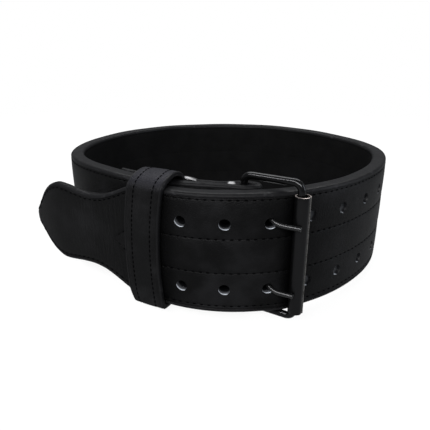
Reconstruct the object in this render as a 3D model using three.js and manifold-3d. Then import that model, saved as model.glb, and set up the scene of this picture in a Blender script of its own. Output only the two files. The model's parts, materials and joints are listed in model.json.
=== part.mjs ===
// A leather weightlifting belt, fastened in a loop and lying on its lower edge.
// One strap is folded round the heel bar of a two-prong roller buckle, runs once round
// the loop, passes under the roller and ends in a shaped tongue held by a leather keeper.
// Millimetres, +Z up. The front, where the buckle is, faces -Y.

import * as THREE from 'three';
import { mergeVertices } from 'three/addons/utils/BufferGeometryUtils.js';
import Module from 'manifold-3d';

const wasm = await Module();
wasm.setup();

// Driving dimensions of the strap
const STRAP_WIDTH = 100;
const STRAP_THICK = 13;
const TONGUE_THICK = 7;
const STRAP_EDGE_ROUND = 3;
const LOOP_RADIUS = 160;
const TONGUE_LENGTH = 132;

// Driving dimensions of the fold round the heel bar
const FOLD_THICK = 6;
const FOLD_SLACK = 5;
const FLAP_THICK = 4;
const FLAP_LENGTH = 122;
const SKIVE_LENGTH = 110;
const FOLD_THROAT = 22;
const FLAP_STEP = 6;

// Driving dimensions of the holes
const HOLE_DIAMETER = 9;
const HOLE_PITCH = 34.6;
const HOLE_ROW_SPACING = 55;
const HOLE_ROW_DROP = 1.2;
const HOLES_TO_TONGUE = 2;
const HOLES_TO_LOOP = 6;
const PRONG_HOLE_SHARE = 0.37;

// Driving dimensions of the buckle
const WIRE_DIAMETER = 6;
const FRAME_PITCH = 49;
const FRAME_OVERHANG = 3.3;
const FRAME_LIFT = 1;
const FRAME_CORNER = 6.5;
const ROLLER_DIAMETER = 12;
const ROLLER_LENGTH = 98;
const ROLLER_DROP = 1;
const ROLLER_SEAM = 1.2;
const ROLLER_SEAM_DIRECTION = -60;
const PRONG_DIAMETER = 4;
const PRONG_ARCH = 1.2;
const PRONG_EYE_RISE = 0.35;
const PRONG_SLOT_FALL = 0.3;

// Driving dimensions of the keeper
const KEEPER_WIDTH = 35;
const KEEPER_THICK = 4;
const KEEPER_DIRECTION = -24.9;
const KEEPER_RISE = 5;
const KEEPER_BEVEL = 0.8;

// Clearances and fineness
const GAP = 0.35;
const BAR_CLEARANCE = 0.5;
const KEEPER_CLEARANCE = 0.6;
const POCKET_RAMP = 18;
const STATION_STEP = 11;
const TONGUE_STEP = 5.5;
const TIP_STEP = 2.2;
const HOLE_SIDES = 14;
const WIRE_SIDES = 10;
const COURSE_STEP = 3;

// The grain side of the strap seen from above, from the tip of the tongue round to the buckle.
// direction: degrees from the front, growing towards +X.  reach: share of LOOP_RADIUS.
const COURSE = [
  { direction: -72.3, reach: 1.190 },
  { direction: -64.6, reach: 1.118 },
  { direction: -56.0, reach: 1.040 },
  { direction: -45.5, reach: 0.982 },
  { direction: -34.9, reach: 0.959 },
  { direction: -24.0, reach: 0.957 },
  { direction: -12.5, reach: 0.980 },
  { direction: 0, reach: 0.997 },
  { direction: 14, reach: 1.000 },
  { direction: 45, reach: 0.984 },
  { direction: 68, reach: 1.001 },
  { direction: 90, reach: 1.027 },
  { direction: 112, reach: 1.007 },
  { direction: 135, reach: 0.994 },
  { direction: 180, reach: 1.002 },
  { direction: 225, reach: 1.000 },
  { direction: 255, reach: 1.000 },
  { direction: 270, reach: 0.996 },
  { direction: 283, reach: 0.970 },
  { direction: 295, reach: 0.925 },
  { direction: 307, reach: 0.881 },
  { direction: 321, reach: 0.855 },
  { direction: 334, reach: 0.840 },
  { direction: 347, reach: 0.832 },
  { direction: 357, reach: 0.845 },
  { direction: 364.3, reach: 0.879 },
];

// Half the height of the tongue.
// along: share of TONGUE_LENGTH from the tip.  half: share of STRAP_WIDTH.
const TONGUE_OUTLINE = [
  { along: 0, half: 0.035 },
  { along: 0.015, half: 0.085 },
  { along: 0.047, half: 0.148 },
  { along: 0.088, half: 0.219 },
  { along: 0.13, half: 0.275 },
  { along: 0.17, half: 0.314 },
  { along: 0.21, half: 0.342 },
  { along: 0.29, half: 0.369 },
  { along: 0.37, half: 0.364 },
  { along: 0.50, half: 0.341 },
  { along: 0.61, half: 0.332 },
  { along: 0.71, half: 0.348 },
  { along: 0.80, half: 0.386 },
  { along: 0.89, half: 0.438 },
  { along: 1, half: 0.5 },
];

// The prongs. row: 0 for the upper row of holes, 1 for the lower.  droop: how far the tip
// hangs below the eye.  reach: how far the tip passes the roller's crown, as a share of
// its distance from the roller's axis.
const PRONGS = [
  { name: 'prong_upper', row: 0, droop: 2.4, reach: 0.35 },
  { name: 'prong_lower', row: 1, droop: 5.2, reach: 0.05 },
];

const LEATHER = new THREE.MeshStandardMaterial({ color: 0x1a1a1b, roughness: 0.62, metalness: 0 });
const BLACK_METAL = new THREE.MeshStandardMaterial({ color: 0x2b2b2e, roughness: 0.34, metalness: 0.85 });

const radians = THREE.MathUtils.degToRad;
const vec = (x, y, z = 0) => new THREE.Vector3(x, y, z);

// A value read from a table by a smooth curve through its rows.
function tableValue(table, key, column, at) {
  const last = table.length - 1;
  let i = 0;
  while (i < last - 1 && at > table[i + 1][key]) i += 1;
  const row = (k) => table[Math.min(Math.max(k, 0), last)];
  const slope = (k) => {
    const span = row(k + 1)[key] - row(k - 1)[key];
    return (row(k + 1)[column] - row(k - 1)[column]) / span;
  };
  const span = row(i + 1)[key] - row(i)[key];
  const t = THREE.MathUtils.clamp((at - row(i)[key]) / span, 0, 1);
  const [h00, h10] = [(1 + 2 * t) * (1 - t) ** 2, t * (1 - t) ** 2];
  const [h01, h11] = [t * t * (3 - 2 * t), t * t * (t - 1)];
  return h00 * row(i)[column] + h10 * span * slope(i) + h01 * row(i + 1)[column] + h11 * span * slope(i + 1);
}

// A closed body through rings of equal point count; the ends are capped unless the rings close on themselves.
function loftRings(rings, closed = false) {
  const positions = rings.flat().flatMap((p) => [p.x, p.y, p.z]);
  const count = rings[0].length;
  const index = [];
  const joins = closed ? rings.length : rings.length - 1;
  for (let r = 0; r < joins; r += 1) {
    const next = (r + 1) % rings.length;
    for (let k = 0; k < count; k += 1) {
      const m = (k + 1) % count;
      const [a, b, c, d] = [r * count + k, r * count + m, next * count + m, next * count + k];
      index.push(a, b, c, a, c, d);
    }
  }
  if (!closed) {
    const end = (rings.length - 1) * count;
    for (let k = 1; k < count - 1; k += 1) {
      index.push(0, k + 1, k);
      index.push(end, end + k, end + k + 1);
    }
  }
  const geometry = new THREE.BufferGeometry();
  geometry.setAttribute('position', new THREE.Float32BufferAttribute(positions, 3));
  geometry.setIndex(index);
  if (enclosedVolume(geometry) < 0) {
    for (let k = 0; k < index.length; k += 3) [index[k], index[k + 1]] = [index[k + 1], index[k]];
    geometry.setIndex(index);
  }
  return geometry;
}

function enclosedVolume(geometry) {
  const p = geometry.getAttribute('position');
  const corners = [vec(0, 0), vec(0, 0), vec(0, 0)];
  let volume = 0;
  for (let k = 0; k < geometry.index.count; k += 3) {
    corners.forEach((corner, j) => corner.fromBufferAttribute(p, geometry.index.getX(k + j)));
    volume += corners[0].dot(corners[1].clone().cross(corners[2])) / 6;
  }
  return volume;
}

function toSolid(source) {
  let geometry = source.clone();
  geometry.deleteAttribute('normal');
  geometry.deleteAttribute('uv');
  geometry = mergeVertices(geometry, 1e-4);
  const vertProperties = new Float32Array(geometry.getAttribute('position').array);
  const triVerts = new Uint32Array(geometry.index.array);
  return new wasm.Manifold(new wasm.Mesh({ numProp: 3, vertProperties, triVerts }));
}

function fromSolid(solid) {
  const mesh = solid.getMesh();
  const geometry = new THREE.BufferGeometry();
  geometry.setAttribute('position', new THREE.BufferAttribute(mesh.vertProperties, 3));
  geometry.setIndex(new THREE.BufferAttribute(mesh.triVerts, 1));
  return geometry;
}

// A round wire along points; a closed wire joins its last point to its first.
// up: a direction that is never along the wire.
function wire(points, diameter, up, closed = false) {
  const last = points.length - 1;
  const rings = points.map((point, i) => {
    const before = closed ? points[(i + last) % points.length] : points[Math.max(i - 1, 0)];
    const after = closed ? points[(i + 1) % points.length] : points[Math.min(i + 1, last)];
    const ahead = after.clone().sub(before).normalize();
    const side = ahead.clone().cross(up).normalize();
    const top = side.clone().cross(ahead).normalize();
    return Array.from({ length: WIRE_SIDES }, (_, k) => {
      const turn = ((k + 0.5) / WIRE_SIDES) * 2 * Math.PI;
      const across = side.clone().multiplyScalar(Math.cos(turn) * diameter / 2);
      return point.clone().add(across).addScaledVector(top, Math.sin(turn) * diameter / 2);
    });
  });
  return loftRings(rings, closed);
}

// The course of the strap: the grain side is on the curve and the wall lies to its left.
function coursePoints() {
  const [first, last] = [COURSE[0].direction, COURSE.at(-1).direction];
  const steps = Math.round((last - first) / COURSE_STEP);
  return Array.from({ length: steps + 1 }, (_, i) => {
    const direction = THREE.MathUtils.lerp(first, last, i / steps);
    const reach = tableValue(COURSE, 'direction', 'reach', direction) * LOOP_RADIUS;
    return vec(Math.sin(radians(direction)) * reach, -Math.cos(radians(direction)) * reach);
  });
}

const course = new THREE.CatmullRomCurve3(coursePoints());
course.arcLengthDivisions = 1200;
const courseLength = course.getLength();

function courseFrame(along) {
  const share = THREE.MathUtils.clamp(along / courseLength, 0, 1);
  const point = course.getPointAt(share);
  const ahead = course.getTangentAt(share).normalize();
  const inward = vec(-ahead.y, ahead.x);
  return { point, ahead, inward };
}

// The strap thins on its flesh side towards the fold and towards the tip of the tongue.
function strapThickness(along) {
  const skive = THREE.MathUtils.smoothstep(along, courseLength - SKIVE_LENGTH, courseLength);
  const tongue = THREE.MathUtils.smoothstep(along, TONGUE_LENGTH * 0.3, TONGUE_LENGTH * 1.2);
  return THREE.MathUtils.lerp(THREE.MathUtils.lerp(TONGUE_THICK, STRAP_THICK, tongue), FOLD_THICK, skive);
}

function halfWidth(along) {
  const share = along / TONGUE_LENGTH;
  return STRAP_WIDTH * (share >= 1 ? 0.5 : tableValue(TONGUE_OUTLINE, 'along', 'half', share));
}

// One upright slice of the strap between a grain point and a flesh point, with rounded corners.
function strapSlice(grain, flesh, half) {
  const across = flesh.clone().sub(grain);
  const thick = across.length();
  across.normalize();
  const round = Math.min(STRAP_EDGE_ROUND, thick * 0.4, half * 0.8);
  const corners = [
    { inset: round, lift: half - round, from: 180 },
    { inset: thick - round, lift: half - round, from: 90 },
    { inset: thick - round, lift: round - half, from: 0 },
    { inset: round, lift: round - half, from: -90 },
  ];
  return corners.flatMap(({ inset, lift, from }) => [0, 45, 90].map((step) => {
    const turn = radians(from - step);
    const slice = grain.clone().addScaledVector(across, inset + round * Math.cos(turn));
    slice.z = STRAP_WIDTH / 2 + lift + round * Math.sin(turn);
    return slice;
  }));
}

// Where the strap is sliced: close together at the tip, wider round the loop.
function stationPlaces() {
  const places = [0];
  while (places.at(-1) < courseLength) {
    const along = places.at(-1);
    const onTip = along < TONGUE_LENGTH * 0.2;
    const onTongue = along < TONGUE_LENGTH;
    const step = onTip ? TIP_STEP : onTongue ? TONGUE_STEP : STATION_STEP;
    places.push(along + step);
  }
  places.pop();
  if (courseLength - places.at(-1) < STATION_STEP / 3) places.pop();
  places.push(courseLength);
  return places;
}

// The heel bar stands in the fold, at the end of the course.
const heelFrame = courseFrame(courseLength);
const foldInner = WIRE_DIAMETER / 2 + BAR_CLEARANCE;
const foldOuter = foldInner + FOLD_THICK;
const heelBar = heelFrame.point.clone().addScaledVector(heelFrame.inward, foldOuter);

// Grain and flesh points of the slices from the tip of the tongue to the fold.
const mainStations = stationPlaces().map((along) => {
  const { point, inward } = courseFrame(along);
  const flesh = point.clone().addScaledVector(inward, strapThickness(along));
  return { grain: point, flesh, half: halfWidth(along) };
});

// The keeper stands across the strap where its outer layer reaches KEEPER_DIRECTION.
function findKeeper() {
  let along = 0;
  let frame = courseFrame(along);
  while (THREE.MathUtils.radToDeg(Math.atan2(frame.point.x, -frame.point.y)) < KEEPER_DIRECTION) {
    along += 0.5;
    frame = courseFrame(along);
  }
  return frame;
}

const keeperFrame = findKeeper();

// How far in from the strap's face the keeper's front and back walls stand.
function findKeeperDepths() {
  const { point: place, ahead, inward } = keeperFrame;
  const depths = [];
  for (const { grain, flesh } of mainStations) {
    for (const p of [grain, flesh]) {
      const offset = p.clone().sub(place);
      const near = Math.abs(offset.dot(ahead)) < KEEPER_WIDTH / 2 + STATION_STEP / 2;
      if (near && offset.dot(inward) < LOOP_RADIUS / 2) depths.push(offset.dot(inward));
    }
  }
  return { front: Math.min(...depths) - KEEPER_CLEARANCE, back: Math.max(...depths) + KEEPER_CLEARANCE };
}

const keeperDepths = findKeeperDepths();

// How far the flap stands off the strap's face at a place, to leave a pocket for the keeper's back.
function keeperPocket({ point, inward }) {
  const offset = point.clone().sub(keeperFrame.point);
  const aside = Math.abs(offset.dot(keeperFrame.ahead));
  const edge = KEEPER_WIDTH / 2 + FLAP_STEP;
  const open = 1 - THREE.MathUtils.smoothstep(aside, edge, edge + POCKET_RAMP);
  const clear = keeperDepths.back + KEEPER_THICK + KEEPER_CLEARANCE - offset.dot(keeperFrame.inward);
  return open * clear / inward.dot(keeperFrame.inward);
}

function foldStations() {
  const steps = 10;
  return Array.from({ length: steps - 1 }, (_, i) => {
    const turn = radians(-90 + (180 * (i + 1)) / steps);
    const onFold = (radius) => heelBar.clone()
      .addScaledVector(heelFrame.ahead, (radius + FOLD_SLACK) * Math.cos(turn))
      .addScaledVector(heelFrame.inward, radius * Math.sin(turn));
    return { grain: onFold(foldOuter), flesh: onFold(foldInner), half: STRAP_WIDTH / 2 };
  });
}

function flapStations() {
  const steps = Math.round(FLAP_LENGTH / FLAP_STEP);
  return Array.from({ length: steps + 1 }, (_, i) => {
    const back = (FLAP_LENGTH * i) / steps;
    const along = courseLength - back;
    const frame = courseFrame(along);
    const { point, inward } = frame;
    const closing = THREE.MathUtils.smoothstep(back, 0, FOLD_THROAT);
    const closed = strapThickness(along) + THREE.MathUtils.lerp(2 * foldInner, GAP, closing);
    const near = Math.max(closed, keeperPocket(frame));
    const far = near + THREE.MathUtils.lerp(FOLD_THICK, FLAP_THICK, closing);
    const grain = point.clone().addScaledVector(inward, far);
    const flesh = point.clone().addScaledVector(inward, near);
    return { grain, flesh, half: STRAP_WIDTH / 2 };
  });
}

// The roller stands outside the strap, a frame's length from the heel bar.
function findRoller() {
  const standOff = ROLLER_DIAMETER / 2 + GAP;
  const search = { from: TONGUE_LENGTH, to: courseLength / 2, steps: 4000 };
  let best = null;
  for (let i = 0; i <= search.steps; i += 1) {
    const along = search.from + ((search.to - search.from) * i) / search.steps;
    const { point, inward } = courseFrame(along);
    const centre = point.clone().addScaledVector(inward, -standOff);
    const miss = Math.abs(centre.distanceTo(heelBar) - FRAME_PITCH);
    const ahead = centre.clone().sub(heelBar).dot(heelFrame.ahead) > 0;
    if (ahead && (best === null || miss < best.miss)) best = { centre, miss, along };
  }
  return best;
}

const roller = findRoller();
const frameAhead = roller.centre.clone().sub(heelBar).normalize();
const frameOut = vec(frameAhead.y, -frameAhead.x);

// The prongs pass the hole that lies outside this point between heel bar and roller.
function findProngHole() {
  const between = heelBar.clone().lerp(roller.centre, PRONG_HOLE_SHARE);
  const steps = 2000;
  let best = null;
  for (let i = 0; i <= steps; i += 1) {
    const along = THREE.MathUtils.lerp(TONGUE_LENGTH, roller.along, i / steps);
    const distance = courseFrame(along).point.distanceTo(between);
    if (best === null || distance < best.distance) best = { along, distance };
  }
  return best.along;
}

const prongHole = findProngHole();
const holeHeights = [1, -1].map((side) => STRAP_WIDTH / 2 - HOLE_ROW_DROP + side * HOLE_ROW_SPACING / 2);

function holeCutter(along, height) {
  const { point, inward } = courseFrame(along);
  const length = STRAP_THICK * 2;
  const cutter = new THREE.CylinderGeometry(HOLE_DIAMETER / 2, HOLE_DIAMETER / 2, length, HOLE_SIDES);
  cutter.applyQuaternion(new THREE.Quaternion().setFromUnitVectors(vec(0, 1), inward));
  const centre = point.clone().addScaledVector(inward, STRAP_THICK / 2);
  cutter.translate(centre.x, centre.y, height);
  return toSolid(cutter);
}

// A prong's eye turns in a slot across the fold, a little above its row of holes.
const eyeRadius = WIRE_DIAMETER / 2 + GAP + PRONG_DIAMETER / 2;

function slotCutter({ row, droop }) {
  const back = eyeRadius + PRONG_DIAMETER / 2 + BAR_CLEARANCE * 2;
  const front = foldOuter + FOLD_SLACK * 2;
  const fall = droop * PRONG_SLOT_FALL;
  const tall = PRONG_DIAMETER + BAR_CLEARANCE * 3 + fall;
  const height = holeHeights[row] + droop * PRONG_EYE_RISE - fall / 2;
  const cutter = new THREE.BoxGeometry(back + front, foldOuter * 4, tall);
  cutter.translate((front - back) / 2, 0, 0);
  cutter.rotateZ(Math.atan2(heelFrame.ahead.y, heelFrame.ahead.x));
  cutter.translate(heelBar.x, heelBar.y, height);
  return toSolid(cutter);
}

function beltStrap() {
  const stations = [...mainStations, ...foldStations(), ...flapStations()];
  const slices = stations.map(({ grain, flesh, half }) => strapSlice(grain, flesh, half));
  let strap = toSolid(loftRings(slices));
  for (let column = -HOLES_TO_TONGUE; column <= HOLES_TO_LOOP; column += 1) {
    for (const height of holeHeights) {
      strap = strap.subtract(holeCutter(prongHole + column * HOLE_PITCH, height));
    }
  }
  for (const row of PRONGS) strap = strap.subtract(slotCutter(row));
  return fromSolid(strap);
}

// A rounded rectangle of wire: heel bar, two side wires and the bar inside the roller.
function buckleFrame() {
  const reach = STRAP_WIDTH / 2 + FRAME_OVERHANG + WIRE_DIAMETER / 2;
  const corners = [
    { ahead: FRAME_PITCH - FRAME_CORNER, lift: reach - FRAME_CORNER, from: 90 },
    { ahead: FRAME_PITCH - FRAME_CORNER, lift: FRAME_CORNER - reach, from: 0 },
    { ahead: FRAME_CORNER, lift: FRAME_CORNER - reach, from: -90 },
    { ahead: FRAME_CORNER, lift: reach - FRAME_CORNER, from: -180 },
  ];
  const cornerSteps = 5;
  const path = corners.flatMap(({ ahead, lift, from }) => Array.from({ length: cornerSteps + 1 }, (_, i) => {
    const turn = radians(from - (90 * i) / cornerSteps);
    const point = heelBar.clone().addScaledVector(frameAhead, ahead + FRAME_CORNER * Math.cos(turn));
    point.z = STRAP_WIDTH / 2 + FRAME_LIFT + lift + FRAME_CORNER * Math.sin(turn);
    return point;
  }));
  return wire(path, WIRE_DIAMETER, frameOut, true);
}

// A tube rolled from sheet, with its open seam along one side.
function rollerTube() {
  const outer = ROLLER_DIAMETER / 2;
  const inner = WIRE_DIAMETER / 2 + GAP;
  const seam = (radius) => ROLLER_SEAM / 2 / radius;
  const facing = radians(ROLLER_SEAM_DIRECTION);
  const shape = new THREE.Shape();
  shape.absarc(0, 0, outer, facing + seam(outer), facing + 2 * Math.PI - seam(outer), false);
  shape.absarc(0, 0, inner, facing + 2 * Math.PI - seam(inner), facing + seam(inner), true);
  const tube = new THREE.ExtrudeGeometry(shape, { depth: ROLLER_LENGTH, bevelEnabled: false, curveSegments: 18 });
  tube.translate(roller.centre.x, roller.centre.y, (STRAP_WIDTH - ROLLER_LENGTH) / 2 - ROLLER_DROP);
  return tube;
}

// A prong: an eye bent round the heel bar, an arm out through the strap, and a tip on the roller.
function prong({ row, droop, reach }) {
  const { point, ahead, inward } = courseFrame(prongHole);
  const inHole = (depth, shift) => point.clone().addScaledVector(inward, depth).addScaledVector(ahead, shift);
  const entry = inHole(STRAP_THICK + 1.5, -2.2);
  const armAngle = Math.atan2(entry.y - heelBar.y, entry.x - heelBar.x);
  const eyeSteps = 12;
  const eye = Array.from({ length: eyeSteps + 1 }, (_, i) => {
    const turn = armAngle - radians(78) - radians(285) * (1 - i / eyeSteps);
    return heelBar.clone().add(vec(Math.cos(turn) * eyeRadius, Math.sin(turn) * eyeRadius));
  });
  const onRoller = ROLLER_DIAMETER / 2 + PRONG_DIAMETER / 2 + GAP;
  const rollerPoint = (out, on) => roller.centre.clone()
    .addScaledVector(frameOut, out * onRoller).addScaledVector(frameAhead, on * onRoller);
  const crest = inHole(-PRONG_DIAMETER / 2 - PRONG_ARCH, 3.4);
  const touch = rollerPoint(1, -0.25);
  const arm = new THREE.CatmullRomCurve3([
    eye.at(-1),
    entry,
    inHole(STRAP_THICK * 0.5, -0.7),
    inHole(0.5, 1.2),
    crest.clone().lerp(touch, 0.12),
    crest.clone().lerp(touch, 0.55),
    touch,
    rollerPoint(1.02 - reach * 0.2, reach),
  ]).getSpacedPoints(22);
  const path = [...eye, ...arm.slice(1)];
  path.forEach((p, i) => {
    const out = Math.max(0, i - eyeSteps) / (path.length - 1 - eyeSteps);
    p.z = holeHeights[row] + droop * (PRONG_EYE_RISE - out);
  });
  return wire(path, PRONG_DIAMETER, vec(0, 0, 1));
}

// A leather band round both layers, arched above their upper edge.
function keeperLoop() {
  const { point: place, inward } = keeperFrame;
  const [front, back] = [-keeperDepths.front, -keeperDepths.back];
  const shape = keeperOutline(front, back, KEEPER_THICK);
  shape.holes.push(keeperOutline(front, back, 0));
  const length = KEEPER_WIDTH - 2 * KEEPER_BEVEL;
  const band = new THREE.ExtrudeGeometry(shape, {
    depth: length, curveSegments: 10, bevelEnabled: true,
    bevelSize: KEEPER_BEVEL, bevelThickness: KEEPER_BEVEL, bevelOffset: -KEEPER_BEVEL, bevelSegments: 1,
  });
  band.translate(0, 0, -length / 2);
  const outward = inward.clone().negate();
  const turn = new THREE.Matrix4().makeBasis(outward, vec(0, 0, 1), outward.clone().cross(vec(0, 0, 1)));
  band.applyMatrix4(turn);
  band.translate(place.x, place.y, 0);
  return band;
}

// The keeper's outline across the strap: flat below, straight sides and an arch above.
function keeperOutline(front, back, wall) {
  const shape = new THREE.Shape();
  const [near, far] = [front + wall, back - wall];
  const low = -KEEPER_CLEARANCE - wall;
  const high = STRAP_WIDTH + KEEPER_RISE + wall;
  const round = STRAP_EDGE_ROUND * 0.5 + wall;
  const middle = (near + far) / 2;
  const spring = STRAP_WIDTH - STRAP_EDGE_ROUND;
  shape.moveTo(far + round, low);
  shape.lineTo(near - round, low);
  shape.absarc(near - round, low + round, round, -Math.PI / 2, 0, false);
  shape.lineTo(near, spring);
  shape.absellipse(middle, spring, (near - far) / 2, high - spring, 0, Math.PI, false, 0);
  shape.lineTo(far, low + round);
  shape.absarc(far + round, low + round, round, Math.PI, Math.PI * 1.5, false);
  return shape;
}

const belt = new THREE.Group();

function addNode(name, geometry, material) {
  const mesh = new THREE.Mesh(geometry, material);
  mesh.name = name;
  belt.add(mesh);
}

addNode('belt_strap', beltStrap(), LEATHER);
addNode('keeper_loop', keeperLoop(), LEATHER);
addNode('buckle_frame', buckleFrame(), BLACK_METAL);
addNode('roller', rollerTube(), BLACK_METAL);
for (const row of PRONGS) addNode(row.name, prong(row), BLACK_METAL);

// The belt rests on the lowest points of its buckle, keeper and rear edge.
// The plane under all of them that lies highest at the middle of the loop is the floor.
function restingPlane() {
  const low = [];
  for (const mesh of belt.children) {
    const p = mesh.geometry.getAttribute('position');
    const corners = Array.from({ length: p.count }, (_, i) => vec(p.getX(i), p.getY(i), p.getZ(i)));
    const lowest = Math.min(...corners.map((c) => c.z));
    const spread = mesh.name === 'belt_strap' ? GAP / 10 : WIRE_DIAMETER / 4;
    low.push(...corners.filter((c) => c.z < lowest + spread));
  }
  const plane = { tiltX: 0, tiltY: 0 };
  const heightAtMiddle = (tiltX, tiltY) => Math.min(...low.map((c) => c.z - tiltX * c.x - tiltY * c.y));
  let reach = 0.04;
  while (reach > 1e-7) {
    const tries = [[0, 0], [1, 0], [-1, 0], [0, 1], [0, -1], [1, 1], [-1, -1], [1, -1], [-1, 1]]
      .map(([i, j]) => ({ tiltX: plane.tiltX + i * reach, tiltY: plane.tiltY + j * reach }));
    const best = tries.reduce((a, b) => (
      heightAtMiddle(b.tiltX, b.tiltY) > heightAtMiddle(a.tiltX, a.tiltY) + 1e-9 ? b : a));
    if (best.tiltX === plane.tiltX && best.tiltY === plane.tiltY) reach /= 2;
    Object.assign(plane, best);
  }
  return vec(-plane.tiltX, -plane.tiltY, 1).normalize();
}

const group = new THREE.Group();
belt.quaternion.setFromUnitVectors(restingPlane(), vec(0, 0, 1));
group.add(belt);
group.updateMatrixWorld(true);
const box = new THREE.Box3().setFromObject(group, true);
group.position.set(-(box.min.x + box.max.x) / 2, -(box.min.y + box.max.y) / 2, -box.min.z);

export default group;
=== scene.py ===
"""A black leather weightlifting belt, fastened in a loop and lying on its lower edge.

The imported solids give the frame. Each piece is made again here with its fine surface, from the same driving
sizes, and stands for its solid: the strap with its stitched channels, punched holes, fold and tongue, the
keeper, the buckle's wire frame with its rolled tube, and the two prongs. A few sizes differ a little from
the solids, where the photograph shows it: the keeper's width, the holes and the tip of the tongue.

Lengths in the classes are in millimetres in the belt's own frame. Its origin is the middle of the loop at the
strap's lower edge, with the buckle towards -Y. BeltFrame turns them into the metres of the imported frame.
"""

import json
import logging
import math
from dataclasses import dataclass, field
from enum import Enum

import bpy
import numpy as np
from mathutils import Matrix, Vector


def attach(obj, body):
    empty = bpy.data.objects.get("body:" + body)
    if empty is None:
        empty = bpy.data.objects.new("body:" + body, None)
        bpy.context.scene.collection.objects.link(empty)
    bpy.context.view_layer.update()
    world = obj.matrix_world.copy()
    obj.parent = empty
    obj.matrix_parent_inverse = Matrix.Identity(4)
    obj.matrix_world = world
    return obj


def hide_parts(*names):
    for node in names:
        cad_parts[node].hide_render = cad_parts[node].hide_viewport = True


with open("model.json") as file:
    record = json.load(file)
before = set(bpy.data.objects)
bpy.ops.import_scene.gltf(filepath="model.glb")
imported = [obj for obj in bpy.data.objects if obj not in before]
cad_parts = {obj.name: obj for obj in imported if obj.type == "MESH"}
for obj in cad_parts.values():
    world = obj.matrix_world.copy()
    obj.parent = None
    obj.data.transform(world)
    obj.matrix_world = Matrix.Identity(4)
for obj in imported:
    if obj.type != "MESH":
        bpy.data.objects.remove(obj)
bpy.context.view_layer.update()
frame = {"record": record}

LOG = logging.getLogger("belt")
MM = 0.001
BODY = "root"
MIX_FIRST, MIX_SECOND, MIX_RESULT = 6, 7, 2
GROOVE_STEPS = (1.6, 0.9, 0.45, 0, -0.45, -0.9, -1.6)
CREASE_STEPS = (0.0, 0.7, 1.4, 2.1)


class Zone(Enum):
    """The surfaces of a leather piece, in the order of its material slots."""

    GRAIN = 0
    EDGE = 1
    FLESH = 2
    PUNCHED = 3


class Slot(Enum):
    """The record's material slots."""

    STRAP = "strap_leather"
    KEEPER = "keeper_leather"
    METAL = "buckle_metal"


def ease(value: np.ndarray, low: float, high: float) -> np.ndarray:
    """Rises smoothly from 0 at low to 1 at high."""
    share = np.clip((np.asarray(value, float) - low) / (high - low), 0, 1)
    return share * share * (3 - 2 * share)


def table_value(rows: np.ndarray, at: np.ndarray) -> np.ndarray:
    """Reads a table by a smooth curve through its rows.

    Args:
        rows: one (key, value) pair a row, keys rising.
        at: the keys to read.

    Returns:
        The values there.
    """
    keys, values = rows[:, 0], rows[:, 1]
    last = len(keys) - 1
    before, after = np.maximum(np.arange(last + 1) - 1, 0), np.minimum(np.arange(last + 1) + 1, last)
    slopes = (values[after] - values[before]) / (keys[after] - keys[before])
    at = np.clip(np.asarray(at, float), keys[0], keys[-1])
    i = np.clip(np.searchsorted(keys, at, side="right") - 1, 0, last - 1)
    span = keys[i + 1] - keys[i]
    t = (at - keys[i]) / span
    rise = values[i] * (1 + 2 * t) * (1 - t) ** 2 + values[i + 1] * t * t * (3 - 2 * t)
    return rise + span * (slopes[i] * t * (1 - t) ** 2 + slopes[i + 1] * t * t * (t - 1))


def smooth_path(points: np.ndarray, count: int) -> np.ndarray:
    """A smooth curve through points, cut into evenly spaced places.

    Args:
        points: the points, one a row.
        count: how many places to return.

    Returns:
        The places, one a row.
    """
    chord = np.concatenate([[0], np.cumsum(np.linalg.norm(np.diff(points, axis=0), axis=1))])
    fine = np.linspace(0, chord[-1], count * 8)
    curve = np.stack([table_value(np.stack([chord, column], 1), fine) for column in points.T], 1)
    return respace(curve, count)


def respace(path: np.ndarray, count: int) -> np.ndarray:
    """The same open path with count evenly spaced points."""
    length = np.concatenate([[0], np.cumsum(np.linalg.norm(np.diff(path, axis=0), axis=1))])
    places = np.linspace(0, length[-1], count)
    return np.stack([np.interp(places, length, column) for column in path.T], 1)


def unit(vectors: np.ndarray) -> np.ndarray:
    """Each row at length one."""
    return vectors / np.linalg.norm(vectors, axis=-1, keepdims=True)


@dataclass
class BeltFrame:
    """Where the belt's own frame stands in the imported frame, read from the mount on its rear lower edge."""

    rear_edge: tuple[float, float, float] = (0, 153.5, 0)
    turn: Matrix = field(init=False)
    origin: Vector = field(init=False)

    def __post_init__(self) -> None:
        """Works out the turn and the origin."""
        mount = frame["record"]["mounts"][0]
        up = -Vector(mount["axis"]).normalized()
        self.turn = Vector((0, 0, 1)).rotation_difference(up).to_matrix()
        self.origin = Vector(mount["pos_m"]) - self.turn @ (Vector(self.rear_edge) * MM)

    def metres(self, points: np.ndarray) -> np.ndarray:
        """Points of the belt's frame, in millimetres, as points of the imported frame."""
        turn = np.array(self.turn)
        return np.asarray(points, float) @ turn.T * MM + np.array(self.origin)

    def millimetres(self, points: np.ndarray) -> np.ndarray:
        """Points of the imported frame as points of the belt's frame, in millimetres."""
        return (points - np.array(self.origin)) @ np.array(self.turn) / MM

    def directions(self, vectors: np.ndarray) -> np.ndarray:
        """Directions of the belt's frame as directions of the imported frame."""
        return np.asarray(vectors, float) @ np.array(self.turn).T

    def matrix(self) -> Matrix:
        """The turn and place of the belt's frame as one matrix, in metres."""
        return Matrix.Translation(self.origin) @ self.turn.to_4x4()


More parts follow.
